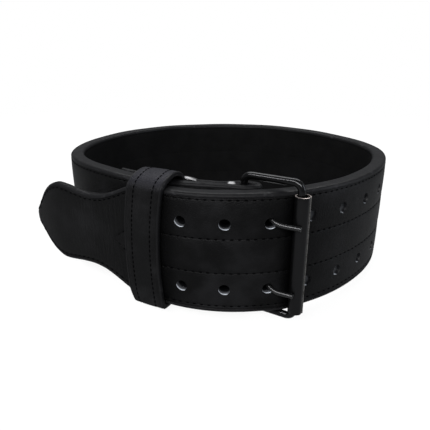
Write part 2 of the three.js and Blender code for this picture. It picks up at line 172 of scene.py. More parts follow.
@dataclass
class Course:
    """The grain side of the strap seen from above, from the tip of the tongue round to the buckle."""

    loop_radius: float = 160
    fineness: float = 0.25
    softness: float = 1.6
    softness_reach: float = 3
    directions_and_reach: tuple[tuple[float, float], ...] = (
        (-72.3, 1.190), (-64.6, 1.118), (-56.0, 1.040), (-45.5, 0.982), (-34.9, 0.959), (-24.0, 0.957),
        (-12.5, 0.980), (0, 0.997), (14, 1.000), (45, 0.984), (68, 1.001), (90, 1.027), (112, 1.007),
        (135, 0.994), (180, 1.002), (225, 1.000), (255, 1.000), (270, 0.996), (283, 0.970), (295, 0.925),
        (307, 0.881), (321, 0.855), (334, 0.840), (347, 0.832), (357, 0.845), (364.3, 0.879),
    )

    def __post_init__(self) -> None:
        """Samples the course finely, with the table's small kinks eased."""
        rows = np.array(self.directions_and_reach, float)
        count = round((rows[-1, 0] - rows[0, 0]) / self.fineness)
        direction = np.linspace(rows[0, 0], rows[-1, 0], count + 1)
        reach = table_value(rows, direction) * self.loop_radius
        half = round(self.softness_reach * self.softness / self.fineness)
        weights = np.exp(-0.5 * (np.arange(-half, half + 1) * self.fineness / self.softness) ** 2)
        padded = np.pad(reach, half, mode="reflect", reflect_type="odd")
        reach = np.convolve(padded, weights / weights.sum(), mode="valid")
        turn = np.radians(direction)
        self.points = np.stack([np.sin(turn) * reach, -np.cos(turn) * reach], 1)
        steps = np.linalg.norm(np.diff(self.points, axis=0), axis=1)
        self.places = np.concatenate([[0], np.cumsum(steps)])
        self.length = float(self.places[-1])
        self.tangents = unit(np.gradient(self.points, self.places, axis=0))

    def at(self, along: np.ndarray) -> tuple[np.ndarray, np.ndarray, np.ndarray]:
        """The course at distances from the tip.

        Args:
            along: distances along the course.

        Returns:
            The points on it, the directions ahead and the directions into the wall, as rows of x and y.
        """
        along = np.atleast_1d(np.asarray(along, float))
        point = np.stack([np.interp(along, self.places, column) for column in self.points.T], 1)
        point += self.tangents[0] * np.minimum(along, 0)[:, None]
        ahead = unit(np.stack([np.interp(along, self.places, column) for column in self.tangents.T], 1))
        return point, ahead, np.stack([-ahead[:, 1], ahead[:, 0]], 1)

    def place_at(self, along: float) -> tuple[np.ndarray, ...]:
        """The point, the direction ahead and the direction into the wall at one distance from the tip."""
        return tuple(rows[0] for rows in self.at(along))

    def at_direction(self, degrees: float) -> float:
        """How far along the course its outer layer first reaches a direction from the front."""
        facing = np.degrees(np.arctan2(self.points[:, 0], -self.points[:, 1]))
        return float(self.places[int(np.argmax(facing >= degrees))])


class Grid:
    """A closed skin through rings of points, kept with its material zones and its own coordinates."""

    def __init__(self, name: str, place: BeltFrame) -> None:
        """Starts an empty skin."""
        self.name = name
        self.place = place
        self.points: list[np.ndarray] = []
        self.faces: list[tuple[int, ...]] = []
        self.zones: list[int] = []
        self.coords: list[tuple[float, float]] = []
        self.count = 0

    def loft(self, rings: np.ndarray, zones: list[Zone], along: np.ndarray, girth: np.ndarray,
             closed: bool = False, cap: Zone = Zone.EDGE) -> None:
        """Adds a skin through rings.

        Args:
            rings: stations by ring points by three, in millimetres.
            zones: the zone of each stretch between ring points.
            along: each station's place along the piece; one more than the stations where it is closed.
            girth: each ring point's place round the piece, and one more for the seam.
            closed: whether the last ring joins the first.
            cap: the zone of the two ends of an open piece.
        """
        stations, ring = rings.shape[:2]
        first = self.count
        self.points.append(rings.reshape(-1, 3))
        self.count += stations * ring
        for i in range(stations if closed else stations - 1):
            following = (i + 1) % stations
            for j in range(ring):
                k = (j + 1) % ring
                corners = ((i, j, i, j), (i, k, i, j + 1), (following, k, i + 1, j + 1),
                           (following, j, i + 1, j))
                self.faces.append(tuple(first + a * ring + b for a, b, _, _ in corners))
                self.coords += [(along[c] * MM, girth[d] * MM) for _, _, c, d in corners]
                self.zones.append(zones[j].value)
        if not closed:
            for station, order in ((0, range(ring - 1, -1, -1)), (stations - 1, range(ring))):
                self.faces.append(tuple(first + station * ring + j for j in order))
                self.coords += [(along[station] * MM, girth[j] * MM) for j in order]
                self.zones.append(cap.value)

    def build(self, materials: list[bpy.types.Material]) -> bpy.types.Object:
        """Makes the mesh object, with its faces pointing out and its own UV map.

        Args:
            materials: one for each zone, in order.

        Returns:
            The new object, at the origin.
        """
        mesh = bpy.data.meshes.new(self.name)
        points = self.place.metres(np.concatenate(self.points))
        mesh.from_pydata([tuple(p) for p in points], [], self.faces)
        layer = mesh.uv_layers.new(name="surface")
        layer.data.foreach_set("uv", np.array(self.coords, np.float32).ravel())
        mesh.polygons.foreach_set("material_index", np.array(self.zones, np.int32))
        for material in materials:
            mesh.materials.append(material)
        if enclosed_volume(mesh) < 0:
            mesh.flip_normals()
        mesh.polygons.foreach_set("use_smooth", np.ones(len(mesh.polygons), bool))
        mesh.update()
        return linked(self.name, mesh)


def linked(name: str, data: bpy.types.ID) -> bpy.types.Object:
    """A new object in the scene."""
    thing = bpy.data.objects.new(name, data)
    bpy.context.scene.collection.objects.link(thing)
    return thing


def write_values(mesh: bpy.types.Mesh, name: str, values: np.ndarray) -> None:
    """Writes one value for each point of a mesh."""
    attribute = mesh.attributes.new(name, "FLOAT", "POINT")
    attribute.data.foreach_set("value", values.astype(np.float32))


def girth_of(ring: np.ndarray) -> np.ndarray:
    """The place of each point round a closed ring, with the first again at its end."""
    steps = np.linalg.norm(np.diff(np.concatenate([ring, ring[:1]]), axis=0), axis=1)
    return np.concatenate([[0], np.cumsum(steps)])


def level(flat: np.ndarray) -> np.ndarray:
    """Directions in plan, one a row, as level directions in space."""
    return np.concatenate([flat, np.zeros((len(flat), 1))], 1)


def raised(flat: np.ndarray, heights: np.ndarray) -> np.ndarray:
    """Points in plan, one a row, lifted to their heights."""
    return np.concatenate([flat, np.reshape(heights, (-1, 1))], 1)


def enclosed_volume(mesh: bpy.types.Mesh) -> float:
    """The volume inside a mesh, below zero where its faces point in."""
    mesh.calc_loop_triangles()
    corners = np.zeros(len(mesh.loop_triangles) * 3, np.int32)
    mesh.loop_triangles.foreach_get("vertices", corners)
    points = np.zeros(len(mesh.vertices) * 3, np.float32)
    mesh.vertices.foreach_get("co", points)
    a, b, c = points.reshape(-1, 3)[corners.reshape(-1, 3)].astype(float).transpose(1, 0, 2)
    return float((a * np.cross(b, c)).sum() / 6)


def baked(thing: bpy.types.Object) -> None:
    """Turns an object's modifiers into its plain mesh and removes them."""
    graph = bpy.context.evaluated_depsgraph_get()
    mesh = bpy.data.meshes.new_from_object(thing.evaluated_get(graph), preserve_all_data_layers=True,
                                           depsgraph=graph)
    thing.modifiers.clear()
    thing.data = mesh


def sharpen(thing: bpy.types.Object, degrees: float) -> None:
    """Shades an object smooth, with its edges over an angle left sharp."""
    mesh = thing.data
    mesh.polygons.foreach_set("use_smooth", np.ones(len(mesh.polygons), bool))
    mesh.set_sharp_from_angle(angle=math.radians(degrees))


def settle(thing: bpy.types.Object, slot: Slot, *nodes: str) -> None:
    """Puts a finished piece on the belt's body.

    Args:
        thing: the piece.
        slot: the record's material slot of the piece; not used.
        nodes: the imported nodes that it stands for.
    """
    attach(thing, BODY)
    if nodes:
        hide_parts(*nodes)
    LOG.info("%s: %d faces", thing.name, len(thing.data.polygons))


class Maths:
    """A shader socket that adds Math nodes where it stands in an expression."""

    def __init__(self, shader: "Shader", socket: bpy.types.NodeSocket) -> None:
        """Wraps a socket of a shader's tree."""
        self.shader = shader
        self.socket = socket

    def _join(self, operation: str, first: object, second: object) -> "Maths":
        """One Math node on two values."""
        node = self.shader.node("ShaderNodeMath", {"operation": operation}, {0: first, 1: second})
        return Maths(self.shader, node.outputs[0])

    def __add__(self, other: object) -> "Maths":
        """Sum."""
        return self._join("ADD", self, other)

    __radd__ = __add__

    def __sub__(self, other: object) -> "Maths":
        """Difference."""
        return self._join("SUBTRACT", self, other)

    def __rsub__(self, other: object) -> "Maths":
        """Difference with the sides swapped."""
        return self._join("SUBTRACT", other, self)

    def __mul__(self, other: object) -> "Maths":
        """Product."""
        return self._join("MULTIPLY", self, other)

    __rmul__ = __mul__

    def swing(self, amount: float) -> "Maths":
        """How far the value lies from a half, times an amount."""
        return (self - 0.5) * amount

    def spread(self, low: float, high: float, to_low: float, to_high: float) -> "Maths":
        """Maps a stretch of values smoothly to another, held at both ends."""
        values = {"Value": self, "From Min": low, "From Max": high, "To Min": to_low, "To Max": to_high}
        node = self.shader.node("ShaderNodeMapRange", {"interpolation_type": "SMOOTHSTEP"}, values)
        return Maths(self.shader, node.outputs["Result"])


@dataclass(frozen=True)
class Noise:
    """A noise: its cells a metre, its octaves and the strength of each finer octave."""

    scale: float
    detail: float
    rough: float


class Shader:
    """A material's node tree, with its Principled shader."""

    def __init__(self, name: str) -> None:
        """Starts a material with a bare Principled shader."""
        self.material = bpy.data.materials.new(name)
        self.material.use_nodes = True
        self.tree = self.material.node_tree
        self.surface = self.tree.nodes["Principled BSDF"]

    def node(self, kind: str, settings: dict | None = None, inputs: dict | None = None) -> bpy.types.Node:
        """Adds a node.

        Args:
            kind: the node's type.
            settings: its own settings; stops is a ramp's list of places and greys or colours.
            inputs: the values or links of its sockets, by name or number.

        Returns:
            The node.
        """
        node = self.tree.nodes.new(kind)
        for name, value in (settings or {}).items():
            if name == "stops":
                self.set_stops(node.color_ramp, value)
            else:
                setattr(node, name, value)
        for name, value in (inputs or {}).items():
            self.feed(node.inputs[name], value)
        return node

    @staticmethod
    def set_stops(ramp: bpy.types.ColorRamp, stops: list[tuple[float, tuple[float, ...]]]) -> None:
        """Gives a ramp its stops."""
        while len(ramp.elements) < len(stops):
            ramp.elements.new(1.0)
        for element, (place, colour) in zip(ramp.elements, stops):
            element.position = place
            element.color = (*colour, 1.0)

    def feed(self, socket: bpy.types.NodeSocket, value: object) -> None:
        """Links a socket to a Maths value or another socket, or sets it."""
        if isinstance(value, Maths):
            self.tree.links.new(value.socket, socket)
        elif isinstance(value, bpy.types.NodeSocket):
            self.tree.links.new(value, socket)
        else:
            socket.default_value = value

    def set(self, **values: object) -> None:
        """Sets or links inputs of the Principled shader; an underscore stands for a space."""
        for name, value in values.items():
            self.feed(self.surface.inputs[name.replace("_", " ")], value)

    def place(self) -> bpy.types.NodeSocket:
        """The place on the object, in metres."""
        return self.node("ShaderNodeTexCoord").outputs["Object"]

    def noise(self, noise: Noise, where: bpy.types.NodeSocket | None = None) -> Maths:
        """A noise around a half, on the object's place or on other coordinates."""
        inputs = {"Vector": where or self.place(), "Scale": noise.scale, "Detail": noise.detail,
                  "Roughness": noise.rough}
        return Maths(self, self.node("ShaderNodeTexNoise", {}, inputs).outputs[0])

    def pebbles(self, scale: float, smoothness: float) -> Maths:
        """Rounded cells, 0 at their middles."""
        inputs = {"Vector": self.place(), "Scale": scale, "Smoothness": smoothness, "Randomness": 1.0}
        return Maths(self, self.node("ShaderNodeTexVoronoi", {"feature": "SMOOTH_F1"}, inputs).outputs[0])

    def attribute(self, name: str) -> Maths:
        """A value that the mesh holds for each of its points."""
        return Maths(self, self.node("ShaderNodeAttribute", {"attribute_name": name}).outputs["Fac"])

    def mixed(self, share: Maths, first: bpy.types.NodeSocket,
              second: tuple[float, float, float]) -> bpy.types.NodeSocket:
        """A colour between a linked one and a plain one, by a share."""
        values = {"Factor": share, MIX_FIRST: first, MIX_SECOND: (*second, 1)}
        return self.node("ShaderNodeMix", {"data_type": "RGBA"}, values).outputs[MIX_RESULT]

    def surface_axes(self, along: float, across: float) -> tuple[bpy.types.NodeSocket, Maths]:
        """The piece's own coordinates.

        Args:
            along: the stretch along the piece.
            across: the stretch round it.

        Returns:
            The stretched coordinates, and the plain place along the piece in metres.
        """
        own = self.node("ShaderNodeUVMap", {"uv_map": "surface"}).outputs[0]
        mapped = self.node("ShaderNodeMapping", {}, {"Vector": own, "Scale": (along, across, 1)}).outputs[0]
        parts = self.node("ShaderNodeSeparateXYZ", {}, {0: own})
        return mapped, Maths(self, parts.outputs["X"])

    def relief(self, height: Maths, distance: float) -> None:
        """Feeds a height, in units of distance metres, to the shader's normal."""
        values = {"Height": height, "Distance": distance, "Strength": 1.0}
        self.set(Normal=self.node("ShaderNodeBump", {}, values).outputs[0])

    def between(self, share: Maths, first: tuple[float, ...],
                second: tuple[float, ...]) -> bpy.types.NodeSocket:
        """A colour between two, by a share."""
        stops = [(0.0, first), (1.0, second)]
        return self.node("ShaderNodeValToRGB", {"stops": stops}, {"Fac": share}).outputs["Color"]


@dataclass(frozen=True)
class Finish:
    """A procedural finish. Scales of noise are in cells a metre, and relief is in metres."""

    name: str

    def material(self) -> bpy.types.Material:
        """Makes the material."""
        shader = Shader(self.name)
        self.paint(shader)
        return shader.material

    def paint(self, shader: Shader) -> None:
        """Sets the shader's inputs."""
        raise NotImplementedError


@dataclass(frozen=True)
class GrainLeather(Finish):
    """Dyed and wax-finished grain leather: fine pebbles, soft mottling, upright wrinkles, darker stitch rows,
    and painted shade beside the keeper and the roller.

    The wrinkles lie between two places along the piece. A crest, where there is one, is the height from which
    the top is painted paler, a painted highlight where light falls on it. Both are in metres.
    """

    dark: tuple[float, float, float] = (0.0032, 0.0032, 0.0034)
    pale: tuple[float, float, float] = (0.0095, 0.0095, 0.0103)
    # Near black: darker along the stitch rows, and painted shade beside the keeper and the roller, mixed in
    # by the seam attribute.
    dark_rows_and_shade: tuple[float, float, float] = (0.0006, 0.0006, 0.0007)
    # Paler bluish grey: a painted highlight on the lit top, above the crest height.
    crown: tuple[float, float, float] = (0.014, 0.014, 0.018)
    crest: float = 0.0
    lit_top_fade: float = 0.010
    mottle: Noise = Noise(22, 4, 0.6)
    fine: Noise = Noise(1900, 2, 0.6)
    pebble_scale: float = 880
    pebble_smoothness: float = 0.6
    wrinkle: Noise = Noise(1, 3, 0.55)
    worn: tuple[float, float] = (0.42, 0.72)
    roughness: float = 0.46
    gloss: float = 0.075
    wrinkle_stretch: tuple[float, float] = (420, 46)
    wrinkles_from: float = 0.050
    wrinkles_to: float = 0.135
    wrinkle_fades: tuple[float, float] = (0.02, 0.03)
    wrinkle_depth: float = 1.0
    wrinkle_heights: tuple[float, float] = (0.7, 0.15)
    sheen_swings: tuple[float, float] = (0.22, 0.10)
    pebble_height: float = -0.55
    fine_height: float = 0.35
    mottle_height: float = 1.2
    relief: float = 0.00050

    def paint(self, shader: Shader) -> None:
        """Sets the shader's inputs."""
        mottle = shader.noise(self.mottle)
        fine = shader.noise(self.fine)
        pebble = shader.pebbles(self.pebble_scale, self.pebble_smoothness)
        own, along = shader.surface_axes(*self.wrinkle_stretch)
        wrinkle = shader.noise(self.wrinkle, own)
        starts, ends = self.wrinkle_fades
        here = along.spread(self.wrinkles_from, self.wrinkles_from + starts, 0, 1)
        here = here * along.spread(self.wrinkles_to, self.wrinkles_to + ends, 1, 0)
        colour = shader.between(mottle.spread(*self.worn, 0, 1), self.dark, self.pale)
        # The seam attribute mixes in the near black: darker along the stitch rows, and painted shade beside
        # the keeper and the roller.
        colour = shader.mixed(shader.attribute("seam"), colour, self.dark_rows_and_shade)
        # A painted highlight: above the crest height the colour turns paler, as the lit top of the keeper.
        if self.crest:
            height = shader.node("ShaderNodeSeparateXYZ", {}, {0: shader.place()}).outputs["Z"]
            above = Maths(shader, height).spread(self.crest, self.crest + self.lit_top_fade, 0, 1)
            colour = shader.mixed(above, colour, self.crown)
        shader.set(Base_Color=colour, Specular_IOR_Level=self.gloss)
        coarse_swing, fine_swing = self.sheen_swings
        shader.set(Roughness=self.roughness + mottle.swing(coarse_swing) + fine.swing(fine_swing))
        deep, shallow = self.wrinkle_heights
        height = pebble * self.pebble_height + fine * self.fine_height
        height = height + wrinkle * (here * deep * self.wrinkle_depth + shallow)
        shader.relief(height + mottle * self.mottle_height, self.relief)


@dataclass(frozen=True)
class PaintedEdge(Finish):
    """The rounded edge, sealed with paint that lies in soft ripples, with painted highlights where it glints.
    """

    colour: tuple[float, float, float] = (0.0085, 0.0085, 0.0092)
    # Near white: a painted highlight where the top edge glints, mixed in by the strap's glint mask.
    worn_and_glint: tuple[float, float, float] = (0.46, 0.46, 0.47)
    scuff_paler: float = 2.6
    scuffed: tuple[float, float] = (0.56, 0.74)
    glint_range: tuple[float, float] = (0.25, 0.8)
    ripple: Noise = Noise(90, 3, 0.5)
    glint_break: float = 0.25
    ripple_swing: float = 0.20
    worn_dulls: float = 0.14
    fine_height: float = 0.18
    worn_depth: float = 0.25
    fine: Noise = Noise(1400, 2, 0.6)
    scuff: Noise = Noise(160, 4, 0.65)
    roughness: float = 0.38
    gloss: float = 0.07
    relief: float = 0.00045

    def paint(self, shader: Shader) -> None:
        """Sets the shader's inputs."""
        ripple = shader.noise(self.ripple)
        fine = shader.noise(self.fine)
        worn = shader.noise(self.scuff).spread(*self.scuffed, 0, 1)
        paler = tuple(channel * self.scuff_paler for channel in self.colour)
        # A painted highlight: where the strap's glint mask is high, the paint turns near white.
        painted_glint_share = shader.attribute("painted_glint")
        painted_glint_share = (painted_glint_share + fine.swing(self.glint_break) * painted_glint_share).spread(*self.glint_range, 0, 1)
        painted = shader.between(worn, self.colour, paler)
        shader.set(Base_Color=shader.mixed(painted_glint_share, painted, self.worn_and_glint), Specular_IOR_Level=self.gloss)
        shader.set(Roughness=self.roughness + ripple.swing(self.ripple_swing) + worn * self.worn_dulls)
        shader.relief(ripple + fine * self.fine_height - worn * self.worn_depth, self.relief)


@dataclass(frozen=True)
class SuedeSide(Finish):
    """The brushed flesh side."""

    dark: tuple[float, float, float] = (0.0029, 0.0029, 0.0030)
    pale: tuple[float, float, float] = (0.0050, 0.0050, 0.0052)
    nap: Noise = Noise(2600, 3, 0.7)
    brush: Noise = Noise(34, 4, 0.65)
    brush_share: float = 0.7
    nap_share: float = 0.3
    nap_swing: float = 0.16
    height: float = 0.8
    brushed: tuple[float, float] = (0.35, 0.68)
    roughness: float = 0.86
    gloss: float = 0.05
    relief: float = 0.00030

    def paint(self, shader: Shader) -> None:
        """Sets the shader's inputs."""
        nap = shader.noise(self.nap)
        brush = shader.noise(self.brush)
        shade = brush.spread(*self.brushed, 0, 1) * self.brush_share + nap * self.nap_share
        shader.set(Base_Color=shader.between(shade, self.dark, self.pale))
        shader.set(Roughness=self.roughness + nap.swing(self.nap_swing), Specular_IOR_Level=self.gloss)
        shader.relief(nap * self.height + brush * self.height, self.relief)


@dataclass(frozen=True)
class PunchedWall(Finish):
    """The cut leather in a punched hole: a dark lip, a pale ring brightened as a painted highlight, and
    painted shade further in.

    Each stop is a share of the strap's thickness.
    """

    lip: tuple[float, float, float] = (0.012, 0.012, 0.013)
    # Near white: the cut leather's pale colour, raised into a painted highlight where light falls into the
    # hole.
    core_and_highlight: tuple[float, float, float] = (0.62, 0.66, 0.72)
    # The grey fibre and the near black deep wall are painted shade, darker further into the hole.
    fibre: tuple[float, float, float] = (0.075, 0.078, 0.086)
    deep: tuple[float, float, float] = (0.005, 0.005, 0.006)
    lip_to: float = 0.02
    core_and_highlight_between: tuple[float, float] = (0.045, 0.085)
    fibre_between: tuple[float, float] = (0.14, 0.27)
    deep_shade_from: float = 0.42
    fibres: Noise = Noise(700, 3, 0.7)
    depth_swing: float = 0.05
    fibre_swing: float = 0.3
    roughness: float = 0.42
    gloss: float = 0.4
    relief: float = 0.00025

    def paint(self, shader: Shader) -> None:
        """Sets the shader's inputs."""
        fibre = shader.noise(self.fibres)
        stretches = (((0.0, self.lip_to), self.lip), (self.core_and_highlight_between, self.core_and_highlight),
                     (self.fibre_between, self.fibre), ((self.deep_shade_from, 1.0), self.deep))
        stops = [(place, colour) for places, colour in stretches for place in places]
        # The attribute holds each wall point's depth, shifted to paint light on one side of the hole and
        # shade on the other.
        depth = shader.attribute("hole_depth_and_light") + fibre.swing(self.depth_swing)
        ramp = shader.node("ShaderNodeValToRGB", {"stops": stops}, {"Fac": depth})
        shader.set(Base_Color=ramp.outputs["Color"], Specular_IOR_Level=self.gloss)
        shader.set(Roughness=self.roughness + fibre.swing(self.fibre_swing))
        shader.relief(fibre, self.relief)


@dataclass(frozen=True)
class WaxedThread(Finish):
    """Waxed sewing thread, mottled by its plies."""

    colour: tuple[float, float, float] = (0.0009, 0.0009, 0.0010)
    ply_paler: float = 2.2
    ply: Noise = Noise(2400, 2, 0.5)
    ply_swing: float = 0.2
    roughness: float = 0.8
    relief: float = 0.00020

    def paint(self, shader: Shader) -> None:
        """Sets the shader's inputs."""
        ply = shader.noise(self.ply)
        paler = tuple(self.ply_paler * channel for channel in self.colour)
        shader.set(Base_Color=shader.between(ply, self.colour, paler))
        shader.set(Roughness=self.roughness + ply.swing(self.ply_swing), Specular_IOR_Level=0.0)
        shader.relief(ply, self.relief)


@dataclass(frozen=True)
class BlackSteel(Finish):
    """Black coated steel, satin, with worn patches and fine scratches."""

    coat: tuple[float, float, float] = (0.024, 0.024, 0.025)
    # The colour where the coat is worn through.
    worn_and_glint: tuple[float, float, float] = (0.10, 0.098, 0.096)
    roughness: float = 0.16
    rub: float = 0.70
    rub_fade: float = 0.10
    metallic: float = 0.92
    gloss: float = 0.5
    patch: Noise = Noise(120, 5, 0.65)
    scratch: Noise = Noise(2600, 2, 0.6)
    peel: Noise = Noise(420, 2, 0.5)
    rub_break: float = 0.12
    patch_swing: float = 0.20
    worn_dulls: float = 0.10
    peel_height: float = 0.25
    scratch_height: float = 0.04
    worn_depth: float = 0.2
    relief: float = 0.00006

    def paint(self, shader: Shader) -> None:
        """Sets the shader's inputs."""
        patch = shader.noise(self.patch)
        scratch = shader.noise(self.scratch)
        peel = shader.noise(self.peel)
        worn = (patch + scratch.swing(self.rub_break)).spread(self.rub, self.rub + self.rub_fade, 0, 1)
        shader.set(Base_Color=shader.between(worn, self.coat, self.worn_and_glint))
        shader.set(Metallic=self.metallic, Specular_IOR_Level=self.gloss)
        shader.set(Roughness=self.roughness + patch.swing(self.patch_swing) + worn * self.worn_dulls)
        height = peel * self.peel_height + scratch * self.scratch_height - worn * self.worn_depth
        shader.relief(height, self.relief)


@dataclass(frozen=True)
class BareRim(Finish):
    """The sheared end of the rolled sheet, where the coat has come off warm grey metal."""

    bare: tuple[float, float, float] = (0.62, 0.55, 0.52)
    stained: tuple[float, float, float] = (0.16, 0.14, 0.13)
    stain: tuple[float, float] = (0.30, 0.60)
    speck: Noise = Noise(900, 3, 0.6)
    speck_swing: float = 0.2
    metallic: float = 0.75
    roughness: float = 0.34
    relief: float = 0.00008

    def paint(self, shader: Shader) -> None:
        """Sets the shader's inputs."""
        speck = shader.noise(self.speck)
        shader.set(Base_Color=shader.between(speck.spread(*self.stain, 0, 1), self.stained, self.bare))
        shader.set(Metallic=self.metallic, Roughness=self.roughness + speck.swing(self.speck_swing))
        shader.relief(speck, self.relief)


@dataclass(frozen=True)
class Sewing:
    """A seam's stitches: from one to the next, their length, their thread's radius and their rise, in mm."""

    pitch: float
    length: float
    radius: float
    rise: float


@dataclass
class Stitcher:
    """Sews rows of stitches along paths, by a Geometry Nodes tree."""

    place: BeltFrame
    thread: bpy.types.Material
    seed: int = 7
    wander: tuple[float, float, float] = (0.03, 0.05, 0.05)
    dip: float = 1.6
    fineness: int = 6
    sharp_from: float = 60

    def __post_init__(self) -> None:
        """Builds the tree once for all rows."""
        tree = bpy.data.node_groups.new("stitch_rows", "GeometryNodeTree")
        face = tree.interface
        face.new_socket("Geometry", in_out="INPUT", socket_type="NodeSocketGeometry")
        self.inputs = {}
        for name, kind in (("Pitch", "NodeSocketFloat"), ("Length", "NodeSocketFloat"),
                           ("Thread Radius", "NodeSocketFloat"), ("Rise", "NodeSocketFloat"),
                           ("Seed", "NodeSocketInt"), ("Thread", "NodeSocketMaterial")):
            self.inputs[name] = face.new_socket(name, in_out="INPUT", socket_type=kind).identifier
        face.new_socket("Geometry", in_out="OUTPUT", socket_type="NodeSocketGeometry")
        self.tree = tree
        given = tree.nodes.new("NodeGroupInput").outputs
        stitch = self.one_stitch(given)
        rows = self.add("GeometryNodeMeshToCurve", {"Mesh": given["Geometry"]}).outputs["Curve"]
        spaced = self.add("GeometryNodeResampleCurve", {"Curve": rows, "Length": given["Pitch"]},
                          {"mode": "LENGTH"}).outputs["Curve"]
        tangent = self.add("GeometryNodeInputTangent", {}).outputs["Tangent"]
        facing = self.add("GeometryNodeInputNamedAttribute", {"Name": "facing"},
                          {"data_type": "FLOAT_VECTOR"}).outputs["Attribute"]
        ahead = self.add("FunctionNodeAlignRotationToVector", {"Vector": tangent}, {"axis": "X"}).outputs[0]
        outward = self.add("FunctionNodeAlignRotationToVector", {"Rotation": ahead, "Vector": facing},
                           {"axis": "Z", "pivot_axis": "X"}).outputs[0]
        least = tuple(-turn for turn in self.wander)
        wander = self.add("FunctionNodeRandomValue",
                          {"Min": least, "Max": self.wander, "Seed": given["Seed"]},
                          {"data_type": "FLOAT_VECTOR"})
        jitter = self.add("FunctionNodeEulerToRotation", {0: wander.outputs["Value"]}).outputs[0]
        turned = self.add("FunctionNodeRotateRotation", {"Rotation": outward, "Rotate By": jitter},
                          {"rotation_space": "LOCAL"}).outputs[0]
        on_rows = self.add("GeometryNodeInstanceOnPoints",
                           {"Points": spaced, "Instance": stitch, "Rotation": turned}).outputs["Instances"]
        plain = self.add("GeometryNodeRealizeInstances", {"Geometry": on_rows}).outputs["Geometry"]
        dressed = self.add("GeometryNodeSetMaterial", {"Geometry": plain, "Material": given["Thread"]})
        end = tree.nodes.new("NodeGroupOutput")
        tree.links.new(dressed.outputs["Geometry"], end.inputs["Geometry"])

    def add(self, kind: str, inputs: dict, settings: dict | None = None) -> bpy.types.Node:
        """Adds a node to the tree, its settings first."""
        node = self.tree.nodes.new(kind)
        for name, value in (settings or {}).items():
            setattr(node, name, value)
        for name, value in inputs.items():
            socket = self.socket(node, name)
            if isinstance(value, bpy.types.NodeSocket):
                self.tree.links.new(value, socket)
            else:
                socket.default_value = value
        return node

    @staticmethod
    def socket(node: bpy.types.Node, name: object) -> bpy.types.NodeSocket:
        """An input by number, or the enabled input of a name."""
        if isinstance(name, int):
            return node.inputs[name]
        return next(s for s in node.inputs if s.name == name and s.enabled)

    def times(self, value: bpy.types.NodeSocket, factor: float) -> bpy.types.NodeSocket:
        """A value times a factor."""
        return self.add("ShaderNodeMath", {0: value, 1: factor}, {"operation": "MULTIPLY"}).outputs[0]

    def one_stitch(self, given: bpy.types.bpy_prop_collection) -> bpy.types.NodeSocket:
        """One stitch, a thread that rises from one needle hole and goes down in the next.

        Args:
            given: the tree's inputs.

        Returns:
            The stitch's mesh, along X, with its crown towards Z.
        """
        half = self.times(given["Length"], 0.5)
        dip = self.times(given["Thread Radius"], -self.dip)
        double = self.times(given["Rise"], 2.0)
        top = self.add("ShaderNodeMath", {0: double, 1: dip}, {"operation": "SUBTRACT"}).outputs[0]
        start, end = (self.add("ShaderNodeCombineXYZ", {"X": x, "Z": dip}).outputs[0]
                      for x in (self.times(half, -1.0), half))
        crown = self.add("ShaderNodeCombineXYZ", {"Z": top}).outputs[0]
        arc = self.add("GeometryNodeCurveQuadraticBezier",
                       {"Resolution": self.fineness, "Start": start, "Middle": crown, "End": end}).outputs[0]
        round_ = self.add("GeometryNodeCurvePrimitiveCircle",
                          {"Resolution": self.fineness, "Radius": given["Thread Radius"]}).outputs["Curve"]
        return self.add("GeometryNodeCurveToMesh",
                        {"Curve": arc, "Profile Curve": round_, "Fill Caps": True}).outputs["Mesh"]

    def sew(self, name: str, rows: list[tuple[np.ndarray, np.ndarray]], sewing: Sewing) -> bpy.types.Object:
        """Sews one piece of stitches.

        Args:
            name: the piece's name.
            rows: for each row its points, in millimetres, and the directions that they face.
            sewing: the sizes of its stitches.

        Returns:
            The stitches as one plain mesh.
        """
        edges, start = [], 0
        for path, _ in rows:
            edges += [(start + i, start + i + 1) for i in range(len(path) - 1)]
            start += len(path)
        points = self.place.metres(np.concatenate([path for path, _ in rows]))
        facing = self.place.directions(np.concatenate([facing for _, facing in rows]))
        mesh = bpy.data.meshes.new(name)
        mesh.from_pydata([tuple(point) for point in points], edges, [])
        attribute = mesh.attributes.new("facing", "FLOAT_VECTOR", "POINT")
        attribute.data.foreach_set("vector", facing.astype(np.float32).ravel())
        thing = linked(name, mesh)
        modifier = thing.modifiers.new("stitches", "NODES")
        modifier.node_group = self.tree
        values = {"Pitch": sewing.pitch * MM, "Length": sewing.length * MM,
                  "Thread Radius": sewing.radius * MM, "Rise": sewing.rise * MM,
                  "Seed": self.seed, "Thread": self.thread}
        for key, value in values.items():
            modifier[self.inputs[key]] = value
        baked(thing)
        sharpen(thing, self.sharp_from)
        return thing


